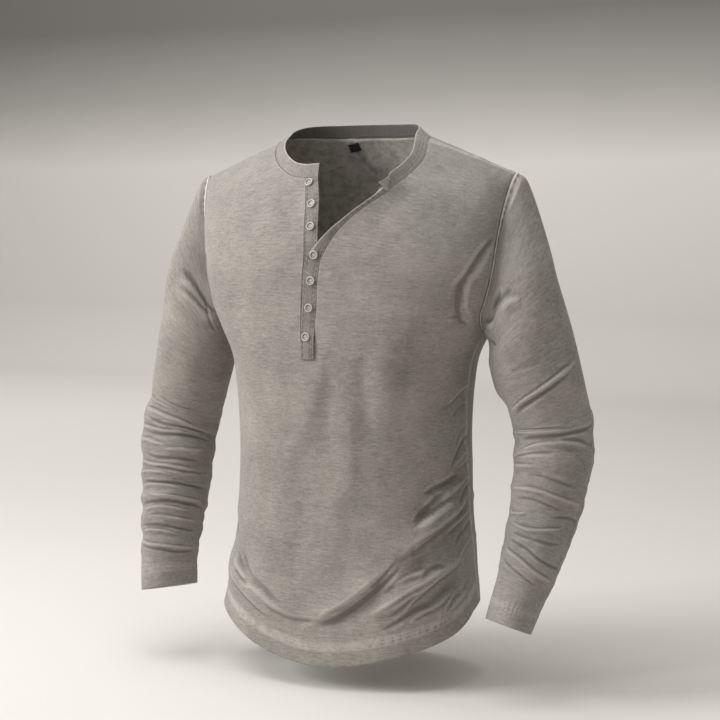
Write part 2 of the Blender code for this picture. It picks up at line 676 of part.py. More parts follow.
def back_half(side):
    """Chart grid of one half of the back as for the wearer's left, [column, row], from the centre
    outwards and from the hem up.
    """
    foot = math.pi / 2 + SIDE_DRIFT + SEAM_GAP / 2 / BODY_RADIUS
    columns = NECK_BACK_COLUMNS + SHOULDER_COLUMNS
    hem_around = np.linspace(math.pi, foot, columns + 1)
    bottom = np.column_stack([hem_around, hem_rise(hem_around if side > 0 else 2 * math.pi - hem_around)])
    outer = side_edge(side, BACK_SIDE_ROWS, False)
    under_rise = outer[BACK_SIDE_ROWS, 1]
    low = np.linspace(bottom[0, 1], under_rise, BACK_SIDE_ROWS + 1)[:-1]
    inner = np.concatenate([low, np.linspace(under_rise, NECK_BACK_RISE, ARMHOLE_ROWS + 1)])
    neck = np.column_stack(neck_back(np.linspace(0, math.pi / 2, NECK_BACK_COLUMNS + 1)))
    around, rise = shoulder_seam(np.linspace(0, 1, SHOULDER_COLUMNS + 1)[1:])
    shoulder = np.column_stack([math.pi - around, 2 * SHOULDER_ARC - rise])
    shoulder[-1] = outer[-1]
    return patch(np.column_stack([0 * inner + math.pi, inner]), outer, bottom, np.vstack([neck, shoulder]))


def sleeve_axis_row(down):
    return along_points(SLEEVE, np.clip(down, 0, 1), 3)


def tube_point(turn, down):
    """The sleeve below its cap: an ellipse square to the arm's line, turned up at its outer side by
    its fan.
    """
    turn, down = np.broadcast_arrays(np.asarray(turn, float), np.asarray(down, float))
    row = sleeve_axis_row(down)
    step = 0.01
    line = unit(sleeve_axis_row(down + step)[..., :3] - sleeve_axis_row(down - step)[..., :3])
    side = np.array([1.0, 0.0, 0.0])
    out = unit(side - line[..., :1] * line)
    forward = np.cross(line, out)
    fan, twist = np.radians(row[..., 5:6]), np.radians(row[..., 6])
    out = out * np.cos(fan) - line * np.sin(fan)
    long_way, short_way = row[..., 3] * np.cos(turn - twist), row[..., 4] * np.sin(turn - twist)
    outward = long_way * np.cos(twist) - short_way * np.sin(twist)
    onward = long_way * np.sin(twist) + short_way * np.cos(twist)
    return row[..., :3] + out * outward[..., None] + forward * onward[..., None]


TUBE_LENGTH = float(np.linalg.norm(np.diff(SLEEVE[:, :3], axis=0), axis=1).sum())


def armhole_ring(turn):
    """(edge, leave): the armhole's edge at an angle round the arm, and the direction in which the
    body's cloth leaves it, square to the edge.
    """
    degrees = np.degrees(turn)
    chart = armhole_chart(degrees)
    edge = torso_point(*chart)
    step = 1.5
    ahead = torso_point(*armhole_chart(degrees + step))
    behind = torso_point(*armhole_chart(degrees - step))
    middle = torso_point(*armhole_chart(np.array([90.0, -90.0]))).mean(axis=0)
    leave = unit(np.cross(torso_normal(*chart), unit(ahead - behind)))
    leave = leave * np.sign(((middle - edge) * leave).sum(axis=-1, keepdims=True))
    return edge, leave


def sleeve_point(turn, down):
    """The wearer's left sleeve: down is a length from the armhole. The cap is a Hermite curve from the
    armhole's edge, leaving as the body's cloth does, to the head of the tube.
    """
    turn, down = np.broadcast_arrays(np.asarray(turn, float), np.asarray(down, float))
    edge, leave = armhole_ring(turn)
    head = tube_point(turn, 0.0 * turn)
    step = 0.004
    onward = unit(tube_point(turn, 0.0 * turn + step) - head)
    reach = np.linalg.norm(head - edge, axis=-1, keepdims=True)
    high = (1 + np.cos(turn))[..., None] ** 2 / 4
    t = np.clip(down / CAP_LENGTH, 0, 1)[..., None]
    gap = SEAM_GAP + UNDERARM_GAP * (1 - np.cos(turn))[..., None] / 2
    cap = (
        (2 * t**3 - 3 * t**2 + 1) * (edge + leave * gap)
        + (t**3 - 2 * t**2 + t) * leave * (CAP_START_UNDERARM + (CAP_START_TOP - CAP_START_UNDERARM) * high)
        + (3 * t**2 - 2 * t**3) * head
        + (t**3 - t**2) * onward * reach * CAP_END
    )
    tube = tube_point(turn, np.clip((down - CAP_LENGTH) / TUBE_LENGTH, 0, 1))
    return np.where((down <= CAP_LENGTH)[..., None], cap, tube)


def sleeve_normal(turn, down):
    """Unit normal of the sleeve, pointing out."""
    step, length = 0.01, 0.0004
    low, high = np.maximum(down - length, 0), np.minimum(down + length, CAP_LENGTH + TUBE_LENGTH)
    round_arm = sleeve_point(turn + step, down) - sleeve_point(turn - step, down)
    down_arm = sleeve_point(turn, high) - sleeve_point(turn, low)
    return unit(np.cross(round_arm, down_arm))


TURNED = [0, 3, 2, 1]  # a quad facing the other way, split along the same diagonal


def grid_quads(columns, rows, around=False):
    """Corner indices of the quads of a grid whose points are numbered column by column, facing the
    side from which columns run right and rows run up.
    """
    last = columns if around else columns - 1
    i, j = np.meshgrid(np.arange(last), np.arange(rows - 1), indexing="ij")
    here, right = i * rows + j, (i + 1) % columns * rows + j
    return np.stack([here, right, right + 1, here + 1], axis=-1).reshape(-1, 4)


def wall_faces(quads, points, rim_split):
    """Faces of a closed wall: the outer quads, the same ones turned round on the inner points, and a
    rim along every edge that one quad has to itself. A rim_split of 1 splits the rims along their
    other diagonal, as their neighbours across a seam have it.
    """
    start, end = quads.reshape(-1), np.roll(quads, -1, axis=1).reshape(-1)
    has_twin = np.isin(start * points + end, end * points + start)
    start, end = start[~has_twin], end[~has_twin]
    rim = np.roll(np.stack([end, start, start + points, end + points], axis=-1), rim_split, axis=1)
    return np.vstack([quads, quads[:, TURNED] + points, rim])


def material(name, colour, roughness, metallic=0.0):
    made = bpy.data.materials.new(name)
    made.use_nodes = True
    shader = made.node_tree.nodes["Principled BSDF"]
    shader.inputs["Base Color"].default_value = (*colour, 1.0)
    shader.inputs["Roughness"].default_value = roughness
    shader.inputs["Metallic"].default_value = metallic
    made.diffuse_color = (*colour, 1.0)
    return made


def solid(name, points, faces, finish):
    """A named object from points and faces, shaded smooth but for its sharp edges."""
    mesh = bpy.data.meshes.new(name)
    mesh.from_pydata(np.asarray(points).reshape(-1, 3).tolist(), [], [list(face) for face in faces])
    mesh.materials.append(finish)
    mesh.shade_smooth()
    mesh.set_sharp_from_angle(angle=SHARP_ANGLE)
    made = bpy.data.objects.new(name, mesh)
    bpy.context.collection.objects.link(made)
    return made


def cloth_wall(name, outer, inner, quads, finish, rim_split=0):
    points = np.vstack([outer.reshape(-1, 3), inner.reshape(-1, 3)])
    return solid(name, points, wall_faces(quads, len(points) // 2, rim_split), finish)


def add_front(finish):
    """The two halves share the centre column up to the slot's foot, and part above it."""
    left, right = front_half(1), front_half(-1)
    left_ids = np.arange(left[..., 0].size).reshape(left.shape[:2])
    right_ids = left_ids + left_ids.size
    right_ids[0, : SLOT_ROWS + 1] = left_ids[0, : SLOT_ROWS + 1]
    charts = np.vstack([left.reshape(-1, 2), right.reshape(-1, 2)])
    quads = np.vstack(
        [
            left_ids.reshape(-1)[grid_quads(*left_ids.shape)],
            right_ids.reshape(-1)[grid_quads(*right_ids.shape)[:, TURNED]],
        ]
    )
    used, numbered = np.unique(quads, return_inverse=True)
    quads = numbered.reshape(quads.shape)
    around, rise = charts[used].T
    cloth_wall("front_panel", body_surface(around, rise), body_surface(around, rise, -WALL), quads, finish)


def back_surface(lift):
    left, right = back_half(1), back_half(-1) * (-1, 1) + (2 * math.pi, 0)
    grid = np.vstack([left[::-1], right[1:]])
    return body_surface(grid[..., 0], grid[..., 1], lift)


def add_back(finish):
    outer = back_surface(0.0)
    quads = grid_quads(*outer.shape[:2])
    left = quads[:, 0] < (outer.shape[0] // 2) * outer.shape[1]
    quads[left] = np.roll(quads[left], 1, axis=1)
    cloth_wall("back_panel", outer, back_surface(-WALL), quads, finish)


def sleeve_rings():
    cap = np.array(CAP_RINGS) * CAP_LENGTH
    return np.concatenate([cap, np.linspace(CAP_LENGTH, CAP_LENGTH + TUBE_LENGTH, TUBE_RINGS)])


def add_sleeve(side, name, folds, finish):
    turns = np.arange(2 * ARMHOLE_ROWS) * math.pi / ARMHOLE_ROWS
    turn, down = np.meshgrid(turns, sleeve_rings(), indexing="ij")
    normal = sleeve_normal(turn, down)
    free = freed(down)[..., None]
    normal = unit(normal * free + torso_normal(*armhole_chart(np.degrees(turn))) * (1 - free))
    height = fold_height(folds, SLEEVE_RADIUS, turn, down)[..., None]
    outer = sleeve_point(turn, down) + normal * free * height
    inner = outer - normal * WALL
    quads = grid_quads(*turn.shape, around=True)
    behind = quads[:, 0] >= turn.size // 2
    quads[behind] = np.roll(quads[behind], 1, axis=1)
    if side < 0:
        outer, inner, quads = outer * (-1, 1, 1), inner * (-1, 1, 1), quads[:, TURNED]
    cloth_wall(name, outer, inner, quads, finish, rim_split=1)


def strip_surface(table, up, across):
    around, rise, lift = strip_chart(table, up, across)
    normal = torso_normal(around, rise)
    return torso_point(around, rise) + normal * (lift + body_folds(around, rise))[..., None], normal


def add_strip(name, table, finish):
    up, across = np.meshgrid(np.linspace(0, 1, STRIP_ROWS), np.linspace(0, 1, STRIP_COLUMNS), indexing="ij")
    outer, normal = strip_surface(table, up, across)
    quads = grid_quads(*up.shape)[:, ::-1]
    cloth_wall(name, outer, outer - normal * TRIM_WALL, quads, finish)


def add_button(number, place, finish):
    """A turned disc with a raised rim and a dished middle, lying just off its strip."""
    table = UNDER_PLACKET if number <= BUTTONS_ON_STAND else OVER_PLACKET
    ups, acrosses = np.linspace(0, 1, BUTTON_SEARCH), np.linspace(0, 1, STRIP_SAMPLES)
    up, across = np.meshgrid(ups, acrosses, indexing="ij")
    on_strip = strip_surface(table, up, across)[0]
    nearest = np.hypot(on_strip[..., 0] - place[0], on_strip[..., 2] - place[1]).argmin()
    centre, up, across = on_strip.reshape(-1, 3)[nearest], up.flat[nearest], across.flat[nearest]
    step = np.array([-1, 1]) * BUTTON_SEAT
    along = unit(np.diff(strip_surface(table, up + step, across)[0], axis=0)[0])
    sideways = np.diff(strip_surface(table, up + 0 * step, across + step)[0], axis=0)[0]
    sideways = unit(sideways - (sideways @ along) * along)
    out = np.cross(sideways, along)
    turn = np.arange(BUTTON_SIDES) * 2 * math.pi / BUTTON_SIDES
    ring = sideways * np.cos(turn)[:, None] + along * np.sin(turn)[:, None]
    rings = [ring * radius + out * (height + BUTTON_OFF) for radius, height in BUTTON_PROFILE]
    middles = [out * BUTTON_OFF, out * (BUTTON_PROFILE[-1, 1] + BUTTON_OFF)]
    points = centre + np.vstack([np.stack(rings, axis=1).reshape(-1, 3), middles])
    levels = len(BUTTON_PROFILE)
    faces = [tuple(quad) for quad in grid_quads(BUTTON_SIDES, levels, around=True)]
    under = BUTTON_SIDES * levels
    for side in range(BUTTON_SIDES):
        after = (side + 1) % BUTTON_SIDES
        faces.append((after * levels, side * levels, under))
        faces.append((side * levels + levels - 1, after * levels + levels - 1, under + 1))
    solid(f"button_{number}", points, faces, finish)


def add_tag(finish):
    """A tag sewn inside the back neck: its points are the back panel's own inner face, moved in."""
    inner = back_surface(-WALL)
    quads = grid_quads(*inner.shape[:2])
    panel = BVHTree.FromPolygons(inner.reshape(-1, 3).tolist(), quads[:, ::-1].tolist())
    half = TAG_WIDTH / 2 / TORSO[-1, 1]
    around, rise = np.meshgrid(
        np.linspace(TAG_AROUND - half, TAG_AROUND + half, TAG_GRID),
        np.linspace(TAG_TOP - TAG_HEIGHT, TAG_TOP, TAG_GRID),
        indexing="ij",
    )
    near = body_surface(around, rise, -WALL).reshape(-1, 3).tolist()
    found = [panel.find_nearest(place)[:2] for place in near]
    place = np.array([tuple(point) for point, normal in found])
    inward = np.array([tuple(normal) for point, normal in found]).mean(axis=0)
    outer, inner = place + inward * LAP_GAP, place + inward * (LAP_GAP + TAG_WALL)
    cloth_wall("neck_label", outer, inner, grid_quads(TAG_GRID, TAG_GRID), finish)


def band_path():
    """Chart places and lifts along the neck seam, over the stand's top, round the neck and over the
    flap's top.
    """
    across = np.linspace(1, 0, STRIP_COLUMNS)
    stand = np.column_stack(strip_chart(UNDER_PLACKET, 1 + 0 * across, across))
    down = np.linspace(0, 1, NECK_FRONT_COLUMNS + 1)
    around, rise = neck_front(-1, down[::-1])
    right = np.column_stack([around, rise, 0 * rise])[1:-1]
    around, rise = neck_back(np.linspace(-math.pi / 2, math.pi / 2, 2 * NECK_BACK_COLUMNS + 1))
    back = np.column_stack([math.pi - around, 2 * SHOULDER_ARC - rise, 0 * rise])
    around, rise = neck_front(1, down)
    left = np.column_stack([around, rise, flap_lift(around, rise)])[1:-1]
    flap = np.column_stack(strip_chart(OVER_PLACKET, 1 + 0 * across, across))
    return np.vstack([stand, right, back, left, flap])


def add_band(finish):
    path = band_path()
    normal = torso_normal(path[:, 0], path[:, 1])
    base = torso_point(path[:, 0], path[:, 1]) + normal * path[:, 2:]
    along = unit(np.gradient(base, axis=0))
    share = np.linspace(0, 1, len(base))
    lean = smooth_rows(BAND_LEAN, share)
    leave = unit(np.cross(along, normal))
    rise = unit(leave * lean + np.array([0.0, 0.0, 1.0]) * (1 - lean))
    ends = np.clip((np.arange(len(base)) - len(base) + 1 + STRIP_COLUMNS) / STRIP_COLUMNS, 0, 1)[:, None]
    rise = unit(rise * (1 - ends) + np.array(BAND_END) * ends)
    leave = unit(leave * (1 - ends) + np.array(BAND_END) * ends)
    height = np.linspace(0, 1, BAND_ROWS)[:, None, None]
    outer = base + leave * SEAM_GAP + rise * BAND_HEIGHT * height
    outward = unit(np.cross(rise, along))
    inner = outer - unit(normal * (1 - height) + outward * height) * TRIM_WALL
    quads = grid_quads(BAND_ROWS, len(base))
    cloth_wall("neckband", outer, inner, quads, finish)


def main():
    for thing in list(bpy.data.objects):
        bpy.data.objects.remove(thing)
    jersey = material("washed_jersey", (0.33, 0.31, 0.28), 0.9)
    rib = material("rib_jersey", (0.34, 0.32, 0.29), 0.9)
    shell = material("button_shell", (0.55, 0.53, 0.49), 0.4)
    tape = material("tag_tape", (0.06, 0.06, 0.06), 0.8)
    add_front(jersey)
    add_back(jersey)
    add_sleeve(1, "sleeve_left", LEFT_SLEEVE_FOLDS, jersey)
    add_sleeve(-1, "sleeve_right", RIGHT_SLEEVE_FOLDS, jersey)
    add_strip("placket_over", OVER_PLACKET, jersey)
    add_strip("placket_under", UNDER_PLACKET, jersey)
    add_band(rib)
    for number, place in enumerate(BUTTONS, 1):
        add_button(number, place, shell)
    add_tag(tape)


if __name__ == "__main__":
    main()
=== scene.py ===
import math

import bpy
import numpy as np
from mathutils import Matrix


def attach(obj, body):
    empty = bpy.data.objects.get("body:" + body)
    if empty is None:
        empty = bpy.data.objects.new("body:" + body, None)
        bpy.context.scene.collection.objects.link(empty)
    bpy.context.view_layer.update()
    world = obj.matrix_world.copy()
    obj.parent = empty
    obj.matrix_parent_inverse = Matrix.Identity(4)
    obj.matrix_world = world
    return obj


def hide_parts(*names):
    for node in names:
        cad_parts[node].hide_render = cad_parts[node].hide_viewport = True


bl_info = {
    "name": "Washed henley shirt",
    "version": (1, 0, 0),
    "blender": (4, 5, 0),
    "location": "3D View > Sidebar > Henley",
    "description": "Cloth, trim, stitching and studio for a long-sleeved henley shirt in washed jersey",
    "category": "Object",
}

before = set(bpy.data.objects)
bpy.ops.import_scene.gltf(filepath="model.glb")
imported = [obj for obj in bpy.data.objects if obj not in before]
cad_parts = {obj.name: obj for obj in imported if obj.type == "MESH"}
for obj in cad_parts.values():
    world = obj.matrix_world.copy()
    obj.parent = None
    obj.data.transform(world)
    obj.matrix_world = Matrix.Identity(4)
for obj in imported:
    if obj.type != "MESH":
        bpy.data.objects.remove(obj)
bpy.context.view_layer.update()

# Cloth and seams, in metres. The shirt faces -Y, and the wearer's left is +X.
WALL = 0.0014
TRIM_WALL = 0.0017
SEAM_GAP = 0.0003
UNDERARM_GAP = 0.0003

# The body's form, a row for each section
CHEST_HEIGHT = -0.200
TIP_HEIGHT = -0.055
SHOULDER_ARC = 0.250
RING_POWER = 2.4
FRONT_POWER = 1.55
BACK_POWER = 1.9
TIP_POWER = 2.25
RIDGE_TOP = 0.024
RIDGE_SLOPE = 0.43
RIDGE_ROUND = 0.060
BODY_RADIUS = 0.170
TORSO = np.array([
    # height, half_width, front_depth, back_depth, sway
    (-0.730, 0.1880, 0.137, 0.120, -0.006),
    (-0.670, 0.1840, 0.136, 0.119, -0.006),
    (-0.620, 0.1800, 0.134, 0.115, -0.005),
    (-0.570, 0.1745, 0.131, 0.108, -0.002),
    (-0.520, 0.1700, 0.129, 0.100, -0.001),
    (-0.460, 0.1670, 0.129, 0.096, 0.000),
    (-0.400, 0.1655, 0.133, 0.097, 0.000),
    (-0.340, 0.1685, 0.139, 0.103, 0.000),
    (-0.300, 0.1755, 0.142, 0.108, 0.000),
    (-0.268, 0.1920, 0.142, 0.111, 0.000),
    (-0.225, 0.2135, 0.140, 0.114, 0.000),
    (-0.190, 0.2230, 0.138, 0.115, 0.000),
    (-0.145, 0.2290, 0.138, 0.115, 0.000),
    (-0.105, 0.2350, 0.138, 0.115, 0.000),
    (-0.055, 0.2400, 0.138, 0.115, 0.000),
])
HEM = np.array([
    # around, height
    (-104, -0.630),
    (-96, -0.632),
    (-84, -0.638),
    (-72, -0.647),
    (-60, -0.658),
    (-42, -0.678),
    (-24, -0.698),
    (0, -0.713),
    (14, -0.712),
    (28, -0.704),
    (42, -0.693),
    (60, -0.679),
    (74, -0.668),
    (86, -0.656),
    (96, -0.644),
    (104, -0.636),
    (112, -0.640),
    (122, -0.652),
    (138, -0.682),
    (158, -0.707),
    (180, -0.714),
    (202, -0.707),
    (222, -0.680),
    (238, -0.649),
    (248, -0.634),
    (256, -0.630),
])
SIDE_DRIFT = math.radians(14)
ARMHOLE = np.array([
    # round_arm, around, rise
    (-180, 90.0, 0.566),
    (-165, 80.4, 0.562),
    (-150, 71.8, 0.549),
    (-120, 61.5, 0.513),
    (-90, 57.5, 0.465),
    (-60, 57.2, 0.417),
    (-45, 58.8, 0.390),
    (-30, 63.0, 0.350),
    (-15, 70.5, 0.298),
    (0, 77.0, 0.250),
    (15, 76.4, 0.202),
    (30, 74.7, 0.152),
    (60, 73.8, 0.102),
    (90, 74.0, 0.056),
    (105, 73.6, 0.017),
    (120, 73.4, -0.022),
    (150, 77.5, -0.050),
    (165, 83.0, -0.061),
    (180, 90.0, -0.066),
])
TIP_AROUND = math.radians(77)
NECK_BACK_RISE = 0.172
BAND_HEIGHT = 0.019
BAND_LEAN = np.array([
    # share of the band's length, lean
    (0.00, 0.50),
    (0.15, 0.55),
    (0.28, 0.80),
    (0.35, 0.80),
    (0.43, 0.50),
    (0.58, 0.50),
    (0.65, 0.75),
    (0.72, 0.70),
    (0.85, 0.45),
    (0.95, 0.15),
    (1.00, 0.10),
])
BAND_END = (0.78, 0.41, 0.48)
SLOT_FOOT = -0.288
SLOT_MOUTH = 0.006
OVER_PLACKET = np.array([
    # free_x, free_z, seam_x, seam_z, free_lift, seam_lift
    (-0.0085, -0.3005, 0.0112, -0.3005, 0.0022, 0.0022),
    (-0.0085, -0.2720, 0.0112, -0.2720, 0.0022, 0.0022),
    (-0.0082, -0.2620, 0.0115, -0.2620, 0.0022, 0.0004),
    (-0.0072, -0.2300, 0.0125, -0.2300, 0.0022, 0.0002),
    (-0.0058, -0.1850, 0.0140, -0.1880, 0.0022, 0.0002),
    (-0.0030, -0.1640, 0.0158, -0.1700, 0.0040, 0.0005),
    (0.0060, -0.1470, 0.0225, -0.1550, 0.0085, 0.0015),
    (0.0166, -0.1330, 0.0305, -0.1410, 0.0120, 0.0028),
    (0.0268, -0.1195, 0.0395, -0.1285, 0.0150, 0.0042),
    (0.0393, -0.1070, 0.0505, -0.1170, 0.0170, 0.0055),
    (0.0540, -0.0950, 0.0645, -0.1055, 0.0185, 0.0062),
    (0.0685, -0.0850, 0.0790, -0.0945, 0.0195, 0.0066),
    (0.0838, -0.0775, 0.0940, -0.0830, 0.0200, 0.0070),
])
FLAP_FROM = 3
FLAP_REACH = 0.040
STRIP_SAMPLES = 90
UNDER_PLACKET = np.array([
    # seam_x, seam_z, free_x, free_z, seam_lift, free_lift
    (-0.0098, -0.2760, 0.0098, -0.2760, 0.0, -0.0022),
    (-0.0096, -0.2300, 0.0100, -0.2300, 0.0, -0.0022),
    (-0.0092, -0.1850, 0.0104, -0.1850, 0.0, -0.0022),
    (-0.0098, -0.1620, 0.0098, -0.1620, 0.0, -0.0022),
    (-0.0122, -0.1450, 0.0074, -0.1450, 0.0, -0.0016),
    (-0.0155, -0.1250, 0.0042, -0.1250, 0.0, -0.0008),
    (-0.0195, -0.1000, 0.0003, -0.0990, 0.0, 0.0),
    (-0.0255, -0.0780, -0.0056, -0.0770, 0.0, 0.0),
    (-0.0325, -0.0605, -0.0127, -0.0595, 0.0, 0.0),
])
NECK_RIGHT = np.array([
    # x, height
    (-0.1150, -0.0095),
    (-0.1120, -0.0190),
    (-0.1000, -0.0330),
    (-0.0800, -0.0470),
    (-0.0520, -0.0585),
    (-0.0325, -0.0605),
])
NECK_LEFT = np.array([
    # x, height
    (0.1150, -0.0095),
    (0.1210, -0.0220),
    (0.1230, -0.0380),
    (0.1160, -0.0540),
    (0.1040, -0.0690),
    (0.0940, -0.0830),
])
SLEEVE = np.array([
    # x, y, z, half_width, half_depth, fan, twist
    (0.2575, -0.0020, -0.270, 0.0612, 0.0580, 21, 0),
    (0.2675, 0.0010, -0.310, 0.0590, 0.0570, 11, 0),
    (0.2782, 0.0040, -0.350, 0.0562, 0.0550, 3, 0),
    (0.2888, 0.0060, -0.390, 0.0537, 0.0540, 0, 0),
    (0.2940, -0.0010, -0.420, 0.0530, 0.0540, 0, 10),
    (0.2930, -0.0115, -0.460, 0.0510, 0.0500, 0, 25),
    (0.2895, -0.0215, -0.500, 0.0480, 0.0460, 0, 40),
    (0.2845, -0.0375, -0.540, 0.0455, 0.0415, 0, 48),
    (0.2785, -0.0545, -0.580, 0.0425, 0.0370, 0, 50),
    (0.2705, -0.0700, -0.615, 0.0405, 0.0325, 0, 50),
    (0.2640, -0.0795, -0.643, 0.0400, 0.0300, 0, 50),
])
CAP_LENGTH = 0.120
CAP_START_TOP = 0.058
CAP_START_UNDERARM = 0.030
CAP_END = 1.15
SLEEVE_RADIUS = 0.050
TUBE_LENGTH = float(np.linalg.norm(np.diff(SLEEVE[:, :3], axis=0), axis=1).sum())
SLEEVE_LENGTH = CAP_LENGTH + TUBE_LENGTH

# Folds and creases. A place on the body is an angle from centre front in degrees and a rise in mm; on a sleeve an
# angle round the arm and a length down it in mm. Depth and half width are in mm too. Lean is how much steeper the
# side on the path's left is.
FOLD_UNITS = np.array([1, 0.001, 1, 0.001, 1, 0.001, 0.001, 0.001, 1])
BODY_FOLDS = np.array([
    # start, start_up, middle, middle_up, end, end_up, depth, half_width, lean
    (52, -282, 66, -272, 86, -254, -3.7, 10, 0),
    (50, -294, 66, -284, 88, -268, 3.2, 11, 0.5),
    (47, -317, 57, -296, 68, -279, -5, 10, 0),
    (48, -330, 57, -314, 78, -292, 4.2, 10, 0.6),
    (92, -292, 58, -326, 34, -372, 6.9, 13, 0.8),
    (34, -372, 20, -420, 0, -455, 6.9, 13, 0.8),
    (0, -455, -26, -430, -56, -375, 5.6, 15, 0.4),
    (88, -322, 60, -350, 38, -392, -6.3, 13, 0),
    (38, -392, 18, -442, 0, -474, -5, 14, 0),
    (84, -364, 54, -398, 24, -450, 6.3, 12, 0.5),
    (80, -392, 56, -420, 38, -452, -5, 12, 0),
    (88, -405, 70, -428, 50, -458, 5, 12, 0.3),
    (-70, -330, -48, -372, -30, -412, -5, 13, 0),
    (-84, -360, -60, -400, -34, -432, 3.7, 14, 0.3),
    (-108, -436, -76, -458, -44, -482, 10.6, 20, 0),
    (8, -80, 0, -168, -18, -262, 3, 16, 0.2),
    (11, -100, 9, -170, 5, -250, -2, 12, 0),
    (20, -140, 19, -226, 17, -310, 2.6, 15, 0.2),
    (33, -56, 36, -125, 38, -200, 2.2, 18, 0.4),
    (26, -76, 27, -145, 29, -226, -2.4, 13, 0),
    (-1, -240, -5, -320, -10, -410, -1.8, 13, 0),
    (13, -250, 11, -330, 2, -410, 2, 16, 0.2),
    (-28, -180, -30, -260, -38, -350, 1.6, 16, 0.2),
    (43, -90, 46, -140, 44, -210, -2, 14, 0),
    (96, -148, 76, -158, 58, -178, -3, 11, 0),
    (98, -202, 84, -226, 70, -256, -3, 10, 0),
    (79, 76, 66, 44, 58, 4, -4, 9, 0),
    (62, 36, 57, -16, 74, -64, -4.8, 9, 0),
    (-70, 55, -60, 20, -62, -40, -3, 12, 0),
    (-92, -100, -80, -124, -60, -140, -3, 11, 0),
    (112, -290, 140, -320, 166, -372, 6.3, 15, 0.3),
    (108, -318, 138, -352, 160, -402, -5, 14, 0),
    (248, -300, 222, -336, 196, -380, 6.3, 15, 0.3),
    (252, -330, 226, -366, 204, -406, -5, 14, 0),
    (176, -60, 172, -140, 178, -220, 3, 14, 0.2),
    (150, 60, 142, 0, 148, -70, -3, 14, 0),
    (212, 62, 220, 4, 214, -66, -3, 14, 0),
    (156, -250, 168, -292, 190, -312, 4.4, 13, 0.3),
    (206, -236, 196, -270, 176, -290, -3.7, 13, 0),
]) * FOLD_UNITS
